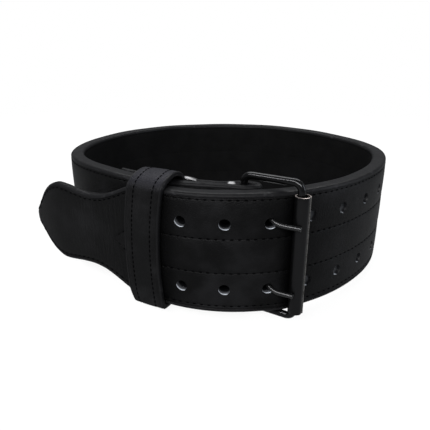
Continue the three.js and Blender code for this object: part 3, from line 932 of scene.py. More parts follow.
@dataclass
class Strap:
    """The one thick strap: tongue, outer layer, loop, fold round the heel bar and flap."""

    place: BeltFrame
    course: Course
    width: float = 100
    thick: float = 13
    tongue_thick: float = 7
    edge_round: float = 3
    tongue_length: float = 132
    tongue_thins: tuple[float, float] = (0.3, 1.2)
    wire: float = 6
    bar_clearance: float = 0.5
    gap: float = 0.35
    fold_thick: float = 6
    fold_slack: float = 5
    fold_throat: float = 22
    flap_thick: float = 4
    flap_length: float = 122
    skive_length: float = 110
    hole: float = 8.6
    hole_pitch: float = 34.6
    hole_rows: float = 55
    hole_drop: float = 1.2
    holes_to_tongue: int = 2
    holes_to_loop: int = 6
    hole_lip: float = 0.25
    # The directions towards the painted shade on each hole's wall, and how fast it grows; the opposite side
    # keeps the painted highlight.
    shade_direction: tuple[float, float] = (0.45, 0.893)
    loop_shade_direction: tuple[float, float] = (0.70, 0.71)
    shade_fade: float = 0.20
    loop_hole_rise: tuple[float, float] = (2.3, 1.0)
    row_insets: tuple[float, float] = (4.9, 6.4)
    inner_rows: tuple[float, float] = (14.0, -14.6)
    rows_meet: float = 108
    rows_open: float = 28
    rows_curve: float = 1.1
    low_row_from: float = 0.7
    rows_begin: tuple[float, float] = (-2, 4)
    groove_depth: float = 0.45
    groove_width: float = 0.70
    nap_groove: float = 0.15
    nap_sink: float = 0.72
    seam_width: float = 0.85
    # How dark the stitch rows are made, and how dark the painted shade beside the keeper and the roller is.
    row_darkening: float = 0.28
    painted_shade: float = 0.97
    crease_depth: float = 0.60
    crease_width: float = 0.36
    bulge: float = 0.30
    tip_droop: float = 4.2
    tip_length: float = 32
    tip_reach: float = 4.0
    tip_stretch: float = 14
    edge_droop: float = 1.5
    droop_place: float = 0.42
    droop_reach: float = 13.0
    droop_heights: tuple[float, float] = (30, 50)
    sways: tuple[tuple[float, float, float], ...] = ((0.22, 31.0, 0.0), (0.12, 11.3, 1.0))
    sway_fades: tuple[float, float] = (60, 160)
    ring_least: float = 14.0
    tip_stations: tuple[float, ...] = (0.02, 0.15)
    tip_spacing: tuple[float, float, float] = (0.4, 9, 0.6)
    tongue_spacing: tuple[float, float, float] = (9.5, 150, 2.0)
    loop_spacing: tuple[float, float] = (152, 2.6)
    fold_steps: int = 27
    flap_spacing: tuple[float, float] = (3, 2.5)
    flap_stations: tuple[float, ...] = (2.5, 1.6, 0.9, 0.4, 0.1, 0.0)
    tip_least: float = 0.02
    corner_shares: tuple[float, float] = (0.4, 0.8)
    edge_steps: int = 7
    wall_shares: tuple[float, ...] = (0.30, 0.5, 0.70)
    swell_shares: tuple[float, ...] = (0.12, 0.3, 0.5, 0.7, 0.88)
    swell_curve: float = 0.6
    end_round: float = 0.42
    rows_part: float = 1.6
    border_from: float = 9.0
    row_step: float = 2.0
    row_ends: tuple[float, float] = (3.0, 4)
    inside_from: float = 0.25
    inside_gap: float = 6
    tip_row_pull: float = 3.0
    tip_row_sink: float = 0.2
    tip_row_points: int = 13
    flap_row_ends: tuple[float, float] = (8, 7)
    flap_end_inset: float = 3
    flap_end_points: int = 40
    wall_reach: tuple[float, float] = (3, 2)
    shade_curve: float = 1.5
    hole_sides: int = 44
    mouth_lips: tuple[tuple[float, float], ...] = ((-1.5, 2.2), (-0.25, 1.1))
    mouth_steps: tuple[tuple[float, float], ...] = ((0.35, 0.15), (1.1, 0.0))
    hole_waist: float = 0.1
    back_steps: tuple[tuple[float, float], ...] = ((-0.8, 0.0), (0.3, 0.4), (1.5, 1.0))
    slot_fall: float = 0.3
    # Painted shade on the walls of the holes past the prong: dark at the mouth, grey further in.
    shaded_side: tuple[float, float] = (-0.80, -0.30)
    shaded_wall: tuple[float, float] = (0.58, 0.95)
    # Where the painted shade lies right of the keeper and left of the roller: start, full, last full and
    # gone, in mm along the strap.
    shade_by_keeper: tuple[float, float, float, float] = (-20, -10, 3, 14)
    shade_by_roller: tuple[float, float, float, float] = (-9, 0, 7, 10)
    sharp_from: float = 48
    sewing: Sewing = Sewing(6.0, 3.2, 0.60, 0.12)
    # Two painted highlights on the top edge behind the front, each given by its ends in x and y.
    glint_reach: tuple[float, float] = (1.8, 3.2)
    glints: tuple[tuple[float, float, float, float], ...] = (
        (-36.1, -111.7, -25.8, -122.0), (0.6, -128.6, 6.4, -129.2))
    tongue_outline: tuple[tuple[float, float], ...] = (
        (0, 0.030), (0.015, 0.072), (0.047, 0.130), (0.088, 0.195), (0.13, 0.252), (0.17, 0.294),
        (0.21, 0.327), (0.29, 0.366), (0.37, 0.364), (0.50, 0.341), (0.61, 0.332), (0.71, 0.348),
        (0.80, 0.386), (0.89, 0.438), (1, 0.5),
    )

    def __post_init__(self) -> None:
        """Works out the heel bar and the fold's radii."""
        self.fold_inner = self.wire / 2 + self.bar_clearance
        self.fold_outer = self.fold_inner + self.fold_thick
        point, ahead, inward = self.course.place_at(self.course.length)
        self.heel_ahead, self.heel_inward = ahead, inward
        self.heel_bar = point + inward * self.fold_outer

    def thickness(self, along: np.ndarray) -> np.ndarray:
        """The strap's thickness, which thins towards the fold and the tip."""
        skive = ease(along, self.course.length - self.skive_length, self.course.length)
        tongue = ease(along, *(self.tongue_length * share for share in self.tongue_thins))
        full = self.tongue_thick + (self.thick - self.tongue_thick) * tongue
        return full + (self.fold_thick - full) * skive

    def half_width(self, along: np.ndarray) -> np.ndarray:
        """Half the strap's height, which narrows over the tongue."""
        share = np.asarray(along, float) / self.tongue_length
        half = table_value(np.array(self.tongue_outline, float), share)
        round_to, round_half = self.tongue_outline[1]
        tip = np.clip(share / round_to, self.tip_least, 1)
        half = np.where(share < round_to, round_half * np.sqrt(tip * (2 - tip)), half)
        return self.width * np.where(share >= 1, 0.5, half)

    def rows(self, along: np.ndarray, half: np.ndarray) -> np.ndarray:
        """The heights of the four stitch rows over the strap's middle, one column a row."""
        opening = np.clip((along - self.rows_meet) / self.rows_open, 0, 1)
        opening = np.sin(opening * math.pi / 2) ** self.rows_curve
        wide = ease(along, self.tongue_length * self.low_row_from, self.tongue_length)
        low_inset = self.row_insets[0] + (self.row_insets[1] - self.row_insets[0]) * wide
        return np.stack([half - self.row_insets[0], self.inner_rows[0] * opening,
                         self.inner_rows[1] * opening, low_inset - half], 1)

    def rows_on(self, along: np.ndarray) -> np.ndarray:
        """How far the two inner rows have begun, from 0 to 1."""
        return ease(along, *(self.rows_meet + step for step in self.rows_begin))

    def stations(self) -> dict[str, np.ndarray]:
        """The strap's slices from the tip of the tongue to the end of the flap.

        Returns:
            Arrays of grain and flesh points, half heights, places along the strap, and how far each slice is
            rounded off by the tip or the flap's end.
        """
        length = self.course.length
        loop_from, loop_step = self.loop_spacing
        along = np.concatenate([self.tip_stations, np.arange(*self.tip_spacing),
                                np.arange(*self.tongue_spacing),
                                np.arange(loop_from, length - 1, loop_step), [length]])
        stretch = self.tip_reach * np.clip(1 - along / self.tip_stretch, 0, 1) ** 2
        point, _, inward = self.course.at(along - stretch)
        grain, flesh = [point], [point + inward * self.thickness(along)[:, None]]
        place, half = [along], [self.half_width(along)]
        turn = np.radians(np.linspace(-90, 90, self.fold_steps)[1:-1])
        for radius, sides in ((self.fold_outer, grain), (self.fold_inner, flesh)):
            sides.append(self.heel_bar + (radius + self.fold_slack) * np.cos(turn)[:, None] * self.heel_ahead
                         + radius * np.sin(turn)[:, None] * self.heel_inward)
        place.append(length + (np.pi / 2 + turn) * self.fold_outer)
        half.append(np.full(len(turn), self.width / 2))
        flap_to, flap_step = self.flap_spacing
        back = np.concatenate([np.arange(0, self.flap_length - flap_to, flap_step),
                               self.flap_length - np.array(self.flap_stations)])
        near, far, point, inward = self.flap_faces(back)
        flesh.append(point + inward * near[:, None])
        grain.append(point + inward * far[:, None])
        place.append(length + math.pi * self.fold_outer + back)
        half.append(np.full(len(back), self.width / 2))
        stations = {"grain": np.concatenate(grain), "flesh": np.concatenate(flesh),
                    "place": np.concatenate(place), "half": np.concatenate(half)}
        end = stations["place"][-1]
        stations["from_end"] = np.minimum(stations["place"], end - stations["place"])
        return stations

    def flap_faces(self, back: np.ndarray) -> tuple[np.ndarray, np.ndarray, np.ndarray, np.ndarray]:
        """Where the flap's two faces lie.

        Args:
            back: distances back from the heel bar.

        Returns:
            The depths of its flesh and grain faces behind the course, the course's points and its inward
            directions there.
        """
        along = self.course.length - back
        point, _, inward = self.course.at(along)
        closing = ease(back, 0, self.fold_throat)
        closed = self.thickness(along) + 2 * self.fold_inner + (self.gap - 2 * self.fold_inner) * closing
        near = np.maximum(closed, self.pocket(point, inward))
        return near, near + self.fold_thick + (self.flap_thick - self.fold_thick) * closing, point, inward

    def pocket(self, point: np.ndarray, inward: np.ndarray) -> np.ndarray:
        """How far the flap stands off the strap to leave room for the keeper's back."""
        keeper = self.keeper
        offset = point - keeper.point
        aside = np.abs(offset @ keeper.ahead)
        edge = keeper.width / 2 + keeper.pocket_margin
        room = 1 - ease(aside, edge, edge + keeper.pocket_ramp)
        clear = keeper.back + keeper.thick + keeper.clearance - offset @ keeper.inward
        return room * clear / (inward @ keeper.inward)

    def profile(self, stations: dict[str, np.ndarray]
                ) -> tuple[np.ndarray, np.ndarray, list[Zone], np.ndarray]:
        """The ring of every slice.

        Args:
            stations: the slices.

        Returns:
            Depths from the grain side and heights over the strap's middle, one row a slice, the zone of each
            stretch of the ring, and each ring point's place round the strap.
        """
        half = stations["half"]
        thick = np.linalg.norm(stations["flesh"] - stations["grain"], axis=1)
        reference = np.maximum(half, self.ring_least)
        shrink = half / reference
        by_thickness, by_height = self.corner_shares
        corner = np.minimum(np.minimum(self.edge_round, thick * by_thickness), reference * by_height)
        on_main = np.minimum(stations["place"], self.tongue_length * 2)
        rows = self.rows(on_main, reference)
        layout = rows.copy()
        layout[:, 1] = np.maximum(layout[:, 1], self.rows_part)
        layout[:, 2] = np.minimum(layout[:, 2], -self.rows_part)
        heights, bulges = self.spread_heights(layout, reference, corner)
        rows_on = self.rows_on(stations["place"])
        split = ease(stations["place"], self.rows_meet, self.rows_meet + self.rows_open)[:, None]
        single = np.clip(1 - (heights / rows[:, :1]) ** 2, 0, 1) ** self.swell_curve
        grain = -self.bulge * (single + (bulges - single) * split)
        flesh = thick[:, None] + self.bulge * 0.5 * bulges
        for k in range(4):
            on = 1.0 if k in (0, 3) else rows_on[:, None]
            rut = np.exp(-((heights - rows[:, k:k + 1]) / self.groove_width) ** 2)
            grain += self.groove_depth * on * rut
            flesh -= self.nap_groove * on * rut
        crease = (reference - corner)[:, None] - self.crease_width * CREASE_STEPS[2]
        grain += self.crease_depth * np.exp(-((np.abs(heights) - crease) / self.crease_width) ** 2)
        turns = np.radians(np.linspace(0, 90, self.edge_steps)[1:-1])
        low, tall, back = corner[:, None], reference[:, None], turns[::-1]
        wall = np.stack([thick * share for share in self.wall_shares], 1)
        flat = np.repeat(tall, wall.shape[1], 1)
        down, down_to = low * (1 - np.cos(turns)), tall - low + low * np.sin(turns)
        up, up_to = thick[:, None] - low * (1 - np.cos(back)), tall - low + low * np.sin(back)
        depths = np.concatenate([grain, down, wall, up, flesh[:, ::-1], up[:, ::-1], wall[:, ::-1],
                                 down[:, ::-1]], 1)
        zs = np.concatenate([heights, -down_to, -flat, -up_to, heights[:, ::-1], up_to[:, ::-1], flat,
                             down_to[:, ::-1]], 1)
        side, edge = grain.shape[1], 2 * len(turns) + wall.shape[1]
        zones = ([Zone.GRAIN] * (side - 1) + [Zone.EDGE] * (edge + 1)
                 + [Zone.FLESH] * (side - 1) + [Zone.EDGE] * (edge + 1))
        sample = len(half) // 2
        girth = girth_of(np.stack([depths[sample], zs[sample]], 1))
        return depths, zs * shrink[:, None], zones, girth

    def spread_heights(self, rows: np.ndarray, half: np.ndarray,
                       corner: np.ndarray) -> tuple[np.ndarray, np.ndarray]:
        """Spreads ring points over one face, close together at its crease and stitch rows.

        Args:
            rows: the heights of the stitch rows.
            half: half the height of each slice.
            corner: the radius of its corners.

        Returns:
            Heights from top to bottom, and how far each stands out in the swell between two rows.
        """
        top, width = half - corner, self.groove_width
        columns = [top - self.crease_width * step for step in CREASE_STEPS]
        swells = [0.0] * len(CREASE_STEPS)
        for k in range(4):
            above = columns[-1]
            upper = np.minimum(rows[:, k] + GROOVE_STEPS[0] * width, above - 0.02)
            for share in self.swell_shares if k else ():
                columns.append(above + (upper - above) * share)
                swells.append(math.sin(math.pi * share) ** self.swell_curve)
            columns += [np.minimum(rows[:, k] + step * width, upper) for step in GROOVE_STEPS]
            swells += [0.0] * len(GROOVE_STEPS)
        columns += [-(top - self.crease_width * step) for step in reversed(CREASE_STEPS)]
        swells += [0.0] * len(CREASE_STEPS)
        heights = np.stack(columns, 1)
        return heights, np.broadcast_to(np.array(swells), heights.shape)

    def body(self, materials: list[bpy.types.Material]) -> bpy.types.Object:
        """Makes the strap with its holes.

        Args:
            materials: grain, edge, flesh and punched wall.

        Returns:
            The strap.
        """
        stations = self.stations()
        depths, heights, zones, girth = self.profile(stations)
        thick = np.linalg.norm(stations["flesh"] - stations["grain"], axis=1)
        across = unit(stations["flesh"] - stations["grain"])
        round_ = np.minimum(self.edge_round, thick * self.end_round)
        into = np.clip(round_ - stations["from_end"], 0, None)
        taken = round_ - np.sqrt(np.maximum(round_ ** 2 - into ** 2, 0))
        squeeze = 1 - 2 * taken / thick
        depths = thick[:, None] / 2 + (depths - thick[:, None] / 2) * squeeze[:, None]
        rings = np.zeros((*depths.shape, 3))
        rings[..., :2] = stations["grain"][:, None] + across[:, None] * depths[..., None]
        place = stations["place"]
        sway = sum(size * np.sin(place / pitch + start) for size, pitch, start in self.sways)
        sway *= (ease(stations["from_end"], *self.sway_fades)
                 * np.clip(stations["half"] * 2 / self.width, 0, 1))
        rings[..., 2] = self.width / 2 + heights + sway[:, None] * (heights > 0)
        rings[..., 2] -= self.tip_sink(place)[:, None]
        from_buckle = place - self.prong_hole - self.hole_pitch * self.droop_place
        near_buckle = np.exp(-(from_buckle / self.droop_reach) ** 2)
        rings[..., 2] -= near_buckle[:, None] * self.edge_droop * ease(-heights, *self.droop_heights)
        skin = Grid("belt_strap_fine", self.place)
        skin.loft(rings, zones, place, girth)
        strap = skin.build(materials)
        self.punch(strap)
        return strap

    def tip_sink(self, along: np.ndarray) -> np.ndarray:
        """How far the tip of the tongue hangs below the strap's middle."""
        return self.tip_droop * np.clip(1 - np.asarray(along, float) / self.tip_length, 0, 1) ** 2

    def hole_places(self) -> list[tuple[float, float]]:
        """Each hole's place along the course and its height."""
        columns = range(-self.holes_to_tongue, self.holes_to_loop + 1)
        return [(self.prong_hole + column * self.hole_pitch, height + rise * (column > 0))
                for column in columns for height, rise in zip(self.hole_heights(), self.loop_hole_rise)]

    def hole_heights(self) -> tuple[float, float]:
        """The heights of the two rows of holes."""
        middle = self.width / 2 - self.hole_drop
        return middle + self.hole_rows / 2, middle - self.hole_rows / 2

    def punch(self, strap: bpy.types.Object) -> None:
        """Cuts the holes and the prongs' slots, and marks how deep each wall lies, with painted light and
        shade on its sides.

        Args:
            strap: the strap's object.
        """
        tool = Grid("punches", self.place)
        sides, radius, lip = self.hole_sides, self.hole / 2, self.hole_lip
        turn = np.linspace(0, 2 * math.pi, sides, endpoint=False)
        for along, height in self.hole_places():
            point, ahead, inward = self.course.place_at(along)
            depth = float(self.thickness(np.array([along]))[0])
            steps = [*((inset, radius + lip * wider) for inset, wider in self.mouth_lips),
                     *((inset, radius + wider) for inset, wider in self.mouth_steps),
                     (depth / 2, radius - self.hole_waist),
                     *((depth + past, radius + wider) for past, wider in self.back_steps)]
            rings = np.zeros((len(steps), sides, 3))
            for i, (inset, reach) in enumerate(steps):
                rings[i, :, :2] = point + inward * inset + ahead * (np.cos(turn) * reach)[:, None]
                rings[i, :, 2] = height + np.sin(turn) * reach
            tool.loft(rings, [Zone.PUNCHED] * sides, np.zeros(len(steps)), np.zeros(sides + 1),
                      cap=Zone.PUNCHED)
        for rings in self.slot_rings():
            tool.loft(rings, [Zone.PUNCHED] * 4, np.zeros(2), np.zeros(5), cap=Zone.PUNCHED)
        cutter = tool.build([strap.data.materials[Zone.PUNCHED.value]] * 4)
        cut = strap.modifiers.new("punch", "BOOLEAN")
        cut.operation = "DIFFERENCE"
        cut.solver = "EXACT"
        cut.object = cutter
        baked(strap)
        bpy.data.objects.remove(cutter)
        self.mark(strap)
        sharpen(strap, self.sharp_from)

    def slot_rings(self) -> list[np.ndarray]:
        """Boxes that cut the slots in which the prongs' eyes turn."""
        boxes = []
        for prong in self.prongs:
            fall = prong.droop * self.slot_fall
            tall = prong.wire + self.bar_clearance * 3 + fall
            middle = prong.eye_height() - fall / 2
            reach = self.wire / 2 + self.gap + prong.wire / 2
            behind = reach + prong.wire / 2 + 2 * self.bar_clearance
            before = self.fold_outer + 2 * self.fold_slack
            deep = self.fold_outer * 2
            ends = []
            for out in (-behind, before):
                corners = ((-deep, -tall / 2), (deep, -tall / 2), (deep, tall / 2), (-deep, tall / 2))
                at = self.heel_bar + self.heel_ahead * out
                ends.append([(*(at + self.heel_inward * a), middle + b) for a, b in corners])
            boxes.append(np.array(ends))
        return boxes

    def mark(self, strap: bpy.types.Object) -> None:
        """Writes what the finishes read from the strap's points.

        Args:
            strap: the strap, with its holes cut.
        """
        mesh = strap.data
        points = np.zeros(len(mesh.vertices) * 3, np.float32)
        mesh.vertices.foreach_get("co", points)
        own = self.place.millimetres(points.reshape(-1, 3))
        write_values(mesh, "hole_depth_and_light", self.hole_depths_and_light(own))
        # The glint mask: where a painted highlight lies on the top edge.
        write_values(mesh, "painted_glint", self.painted_glint(own))
        # The seam attribute: darker along the stitch rows, and painted shade beside the keeper and the
        # roller.
        write_values(mesh, "seam", self.rows_and_painted_shade(mesh, own))

    def hole_depths_and_light(self, own: np.ndarray) -> np.ndarray:
        """How deep each point of a hole's wall lies, shifted to paint light on the side that the light
        reaches and shade on the other.

        Args:
            own: the strap's points in the belt's frame.

        Returns:
            Shares of the strap's thickness, 1 for points that lie in no hole.
        """
        depth = np.ones(len(own))
        for along, height in self.hole_places():
            point, ahead, inward = self.course.place_at(along)
            offset = own[:, :2] - point
            inset, aside, rise = offset @ inward, offset @ ahead, own[:, 2] - height
            reach = np.maximum(np.hypot(aside, rise), 0.1)
            round_lip, past = self.wall_reach
            near = reach < self.hole / 2 + round_lip * self.hole_lip
            near &= (inset > -past) & (inset < self.thick + past)
            share = inset / self.thick
            # Past the prong, the upper right of each wall is painted in shade, dark at the mouth and grey
            # further in.
            if along > self.prong_hole + self.hole:
                away = (aside * self.loop_shade_direction[0] + rise * self.loop_shade_direction[1]) / reach
                shaded = ease(away, *self.shaded_side)
                mouth, fall = self.shaded_wall
                wall = share * (1 - shaded) + (mouth - share * fall) * shaded
            else:
                # Towards the prong, the upper right of each wall is pushed into painted shade, leaving a
                # painted highlight at its lower left.
                toward_shade = 1 + (aside * self.shade_direction[0] + rise * self.shade_direction[1]) / reach
                wall = share + self.shade_fade * toward_shade ** self.shade_curve
            depth[near] = np.clip(wall[near], 0, 1)
        return depth

    def painted_glint(self, own: np.ndarray) -> np.ndarray:
        """How strongly a highlight is painted on the top edge at each point, in the two glints behind the
        front.
        """
        painted_glint = np.zeros(len(own), np.float32)
        for x0, y0, x1, y1 in self.glints:
            middle, length = np.array([x0 + x1, y0 + y1]) / 2, math.hypot(x1 - x0, y1 - y0)
            line = np.array([x1 - x0, y1 - y0]) / length
            offset = own[:, :2] - middle
            on, off = offset @ line, offset @ np.array([-line[1], line[0]])
            glint = np.exp(-((on / length * self.glint_reach[0]) ** 4) - (off / self.glint_reach[1]) ** 2)
            painted_glint = np.maximum(painted_glint, glint * (own[:, 2] > self.width - self.edge_round - 1))
        return painted_glint

    def rows_and_painted_shade(self, mesh: bpy.types.Mesh, own: np.ndarray) -> np.ndarray:
        """How far each point is darkened: along the stitch rows, and by painted shade beside the keeper and
        the roller.

        Args:
            mesh: the strap's mesh.
            own: its points in the belt's frame.

        Returns:
            Shares from 0 to 1.
        """
        corners = np.zeros(len(mesh.loops), np.int32)
        mesh.loops.foreach_get("vertex_index", corners)
        uv = np.zeros(len(mesh.loops) * 2, np.float32)
        mesh.uv_layers["surface"].data.foreach_get("uv", uv)
        along = np.zeros(len(own))
        along[corners] = uv.reshape(-1, 2)[:, 0] / MM
        on_main = np.clip(along, 0, self.tongue_length * 2)
        half = self.half_width(on_main)
        rows = self.rows(on_main, half) + self.width / 2 - self.tip_sink(on_main)[:, None]
        away = np.abs(own[:, 2:] - rows)
        away[:, 1:3] += 10 * (1 - self.rows_on(along))[:, None]
        darker_rows = self.row_darkening * np.exp(-(away.min(1) / self.seam_width) ** 2)
        # Painted shade on the strap to the right of the keeper and to the left of the roller, where these
        # parts shade it.
        shaded_by_parts = np.zeros(len(own))
        for place, reaches in ((self.keeper.along + self.keeper.width / 2, self.shade_by_keeper),
                               (self.roller_place - self.roller_reach, self.shade_by_roller)):
            start, full, last, gone = (place + reach for reach in reaches)
            shaded_by_parts += ease(along, start, full) * (1 - ease(along, last, gone))
        return np.clip(darker_rows + self.painted_shade * shaded_by_parts, 0, 1)

    def stitch_rows(self) -> list[tuple[np.ndarray, np.ndarray]]:
        """The rows that show: on the grain side, on the flesh side and on the flap.

        Returns:
            For each row its points and the directions that they face.
        """
        length = self.course.length
        start, short = self.row_ends
        main = np.arange(start, length - short, self.row_step)
        heights = self.rows(main, self.half_width(main)) - self.tip_sink(main)[:, None]
        point, _, inward = self.course.at(main)
        outward = level(-inward)
        border, begun = main > self.border_from, main > self.rows_meet
        shown = (border, begun, begun, border)
        inside = ((main > self.tongue_length * self.inside_from)
                  & (main < length - self.flap_length - self.inside_gap))
        grain = point + inward * self.groove_depth
        flesh = point + inward * (self.thickness(main)[:, None] - self.nap_sink)
        rows = [(raised(grain, self.width / 2 + heights[:, k])[on], outward[on])
                for k, on in enumerate(shown)]
        rows.append(self.tip_row(heights[int(np.argmax(border))]))
        for k, on in enumerate(shown):
            on = inside & on
            rows.append((raised(flesh, self.width / 2 + heights[:, k])[on], -outward[on]))
        return rows + self.flap_rows()

    def tip_row(self, heights: np.ndarray) -> tuple[np.ndarray, np.ndarray]:
        """The border row's turn round the tip of the tongue.

        Args:
            heights: the heights of the four rows where it starts.

        Returns:
            Its points and the directions that they face.
        """
        rise = np.linspace(1, -1, self.tip_row_points)
        pull = np.sqrt(np.clip(1 - rise ** 2, 0, None)) * self.tip_row_pull
        point, _, inward = self.course.at(self.border_from - pull)
        height = np.where(rise > 0, heights[0] * rise, -heights[3] * rise)
        return raised(point + inward * self.tip_row_sink, self.width / 2 + height), level(-inward)

    def flap_rows(self) -> list[tuple[np.ndarray, np.ndarray]]:
        """Four rows along the flap, and one across its end."""
        start, short = self.flap_row_ends
        back = np.arange(start, self.flap_length - short, self.row_step)
        _, far, point, inward = self.flap_faces(back)
        flat = point + inward * (far - self.groove_depth)[:, None]
        outward = level(inward)
        half = self.width / 2
        heights = (half - self.row_insets[0], *self.inner_rows, self.row_insets[1] - half)
        rows = [(raised(flat, np.full(len(back), half + height)), outward) for height in heights]
        count, inset = self.flap_end_points, self.flap_end_inset
        rise = np.linspace(half - self.row_insets[0] - inset, self.row_insets[1] - half + inset, count)
        end = raised(np.repeat(flat[-1:], count, 0), half + rise)
        rows.append((end, np.repeat(outward[-1:], count, 0)))
        return rows


@dataclass
class Keeper:
    """The leather band round both layers, arched above their upper edge."""

    place: BeltFrame
    course: Course
    strap_width: float = 100
    width: float = 32.5
    shift: float = -0.45
    thick: float = 4
    direction: float = -24.9
    rise: float = 5
    clearance: float = 0.6
    window: float = 23
    pocket_margin: float = 7.25
    pocket_ramp: float = 18
    edge_round: float = 1.5
    stitch_inset: float = 7.6
    groove_depth: float = 0.40
    groove_width: float = 0.7
    crease_inset: float = 2.1
    crease_depth: float = 0.22
    crease_width: float = 0.25
    crease_steps: tuple[float, ...] = (-1.6, -0.8, 0.8, 1.6)
    swell_base: float = 0.4
    turn_points: int = 8
    arch_points: int = 60
    outline_points: int = 191
    outline_step: float = 1.5
    edge_steps: int = 7
    spring_drop: float = 3
    flat_marks: tuple[float, ...] = (0.0, 3.5, 7.0, 9.5)
    inner_corner: tuple[tuple[float, float], ...] = ((0, 0.7), (0.25, 0.2), (0.8, 0))
    sharp_from: float = 60
    sewing: Sewing = Sewing(4.1, 3.0, 0.48, 0.02)
    stitch_sink: float = 0.30
    swell: float = 0.35
    turn_round: float = 1.5
    bow: tuple[float, float] = (-2.8, 2.7)
    corner_cut: float = 0.36
    corner_rise: float = 15

    def __post_init__(self) -> None:
        """Stands the keeper across the strap."""
        self.along = self.course.at_direction(self.direction)
        point, ahead, inward = self.course.place_at(self.along)
        self.point, self.ahead, self.inward = point, ahead, inward
        self.front = self.back = 0.0

    def fit(self, strap: Strap) -> None:
        """Works out how far in from the strap's face the front and back walls stand.

        Args:
            strap: the strap that it goes round.
        """
        along = np.arange(0, self.course.length, 2.0)
        point, _, inward = self.course.at(along)
        flesh = point + inward * strap.thickness(along)[:, None]
        depths = []
        for face in (point, flesh):
            offset = face - self.point
            depth = offset @ self.inward
            near = (np.abs(offset @ self.ahead) < self.window) & (depth < self.course.loop_radius / 2)
            depths.append(depth[near])
        depths = np.concatenate(depths)
        self.front, self.back = float(depths.min()) - self.clearance, float(depths.max()) + self.clearance

    def outline(self) -> tuple[np.ndarray, np.ndarray]:
        """The inner side of the band across the strap.

        Returns:
            Evenly spaced points of outward reach and height, and the directions away from the strap.
        """
        near, far = -self.front, -self.back
        low, high = -self.clearance, self.strap_width + self.rise
        spring = self.strap_width - self.spring_drop
        corner = np.radians(np.linspace(0, 90, self.turn_points))
        round_ = self.turn_round
        first = np.stack([near - round_ + round_ * np.sin(corner), low + round_ - round_ * np.cos(corner)], 1)
        arch = np.linspace(0, math.pi, self.arch_points)
        middle = (near + far) / 2
        crown = np.stack([middle + (near - far) / 2 * np.cos(arch),
                          spring + (high - spring) * np.sin(arch)], 1)
        last = np.stack([far + round_ - round_ * np.cos(corner), low + round_ - round_ * np.sin(corner)], 1)
        path = np.concatenate([[[middle, low]], first, crown, last, [[middle, low]]])
        path = respace(path, self.outline_points)[:-1]
        ahead = unit(np.roll(path, -1, 0) - np.roll(path, 1, 0))
        facing = np.stack([ahead[:, 1], -ahead[:, 0]], 1)
        for _ in range(2):
            facing = unit(facing + np.roll(facing, 1, 0) + np.roll(facing, -1, 0))
        return path, facing

    def section(self) -> tuple[np.ndarray, list[Zone]]:
        """The band's section.

        Returns:
            Places across its width and over its inner side, and the zones between them.
        """
        half, corner = self.width / 2, self.edge_round
        flat = half - corner
        row, crease = half - self.stitch_inset, half - self.crease_inset
        by_row = (row + step * self.groove_width for step in GROOVE_STEPS)
        by_crease = (crease + step * self.crease_width for step in self.crease_steps)
        marks = sorted({*self.flat_marks, flat, crease, *by_row, *by_crease})
        across = np.array([-m for m in reversed(marks) if m > 0] + marks)
        away = np.abs(across)
        over = self.thick + self.swell * (1 - (across / half) ** 2) - self.swell * self.swell_base
        over -= self.groove_depth * np.exp(-((away - row) / self.groove_width) ** 2)
        over -= self.crease_depth * np.exp(-((away - crease) / self.crease_width) ** 2)
        turn = np.radians(np.linspace(90, 0, self.edge_steps)[1:-1])
        top = self.thick - corner
        right = np.stack([flat + corner * np.cos(turn), top + corner * np.sin(turn)], 1)
        under = [(half - inset, over_inner) for inset, over_inner in self.inner_corner]
        mirrored = [(-place, over_inner) for place, over_inner in reversed(under)]
        inner = np.array([*under, (half / 2, 0), (0, 0), (-half / 2, 0), *mirrored])
        left = right[::-1] * (-1, 1)
        ring = np.concatenate([np.stack([across, over], 1), right, inner, left])
        zones = ([Zone.GRAIN] * (len(across) - 1) + [Zone.EDGE] * (len(right) + 3) + [Zone.FLESH] * 4
                 + [Zone.EDGE] * (len(left) + 3))
        return ring, zones

    def on_band(self, path: np.ndarray, facing: np.ndarray, across: float, over: float) -> np.ndarray:
        """Places on the band, which bows a little and is cut at its lower left corner.

        Args:
            path: the outline's points.
            facing: the directions that face away from the strap there.
            across: a distance across the band's width.
            over: a distance over its inner side.

        Returns:
            Points in millimetres.
        """
        share = path[:, 1] / self.strap_width
        middle, top = self.bow
        lean = share * (1 - share) * 4 * middle + share * (2 * share - 1) * top
        lean = self.shift + lean * ease(path[:, 0], -self.back, -self.front)
        if across < 0:
            low = np.clip(1 - (path[:, 1] + self.thick) / self.corner_rise, 0, 1) ** 2
            lean = lean - across * self.corner_cut * low * ease(path[:, 0], -self.back, -self.front)
        flat = self.point + np.outer(across + lean, self.ahead)
        flat -= np.outer(path[:, 0] + facing[:, 0] * over, self.inward)
        return raised(flat, path[:, 1] + facing[:, 1] * over)

    def band(self, materials: list[bpy.types.Material]) -> bpy.types.Object:
        """Makes the band.

        Args:
            materials: grain, edge and flesh.

        Returns:
            The band.
        """
        path, facing = self.outline()
        ring, zones = self.section()
        rings = np.stack([self.on_band(path, facing, across, over) for across, over in ring], 1)
        skin = Grid("keeper_loop_fine", self.place)
        skin.loft(rings, zones, np.arange(len(path) + 1) * self.outline_step, girth_of(ring), closed=True)
        keeper = skin.build(materials)
        sharpen(keeper, self.sharp_from)
        return keeper

    def stitch_rows(self) -> list[tuple[np.ndarray, np.ndarray]]:
        """The two rows round the band, each with the directions that its points face."""
        path, facing = self.outline()
        outward = np.concatenate([-np.outer(facing[:, 0], self.inward), facing[:, 1:]], 1)
        rows = []
        for side in (1, -1):
            across = side * (self.width / 2 - self.stitch_inset)
            places = self.on_band(path, facing, across, self.thick - self.groove_depth + self.stitch_sink)
            rows.append((np.concatenate([places, places[:1]]), np.concatenate([outward, outward[:1]])))
        return rows


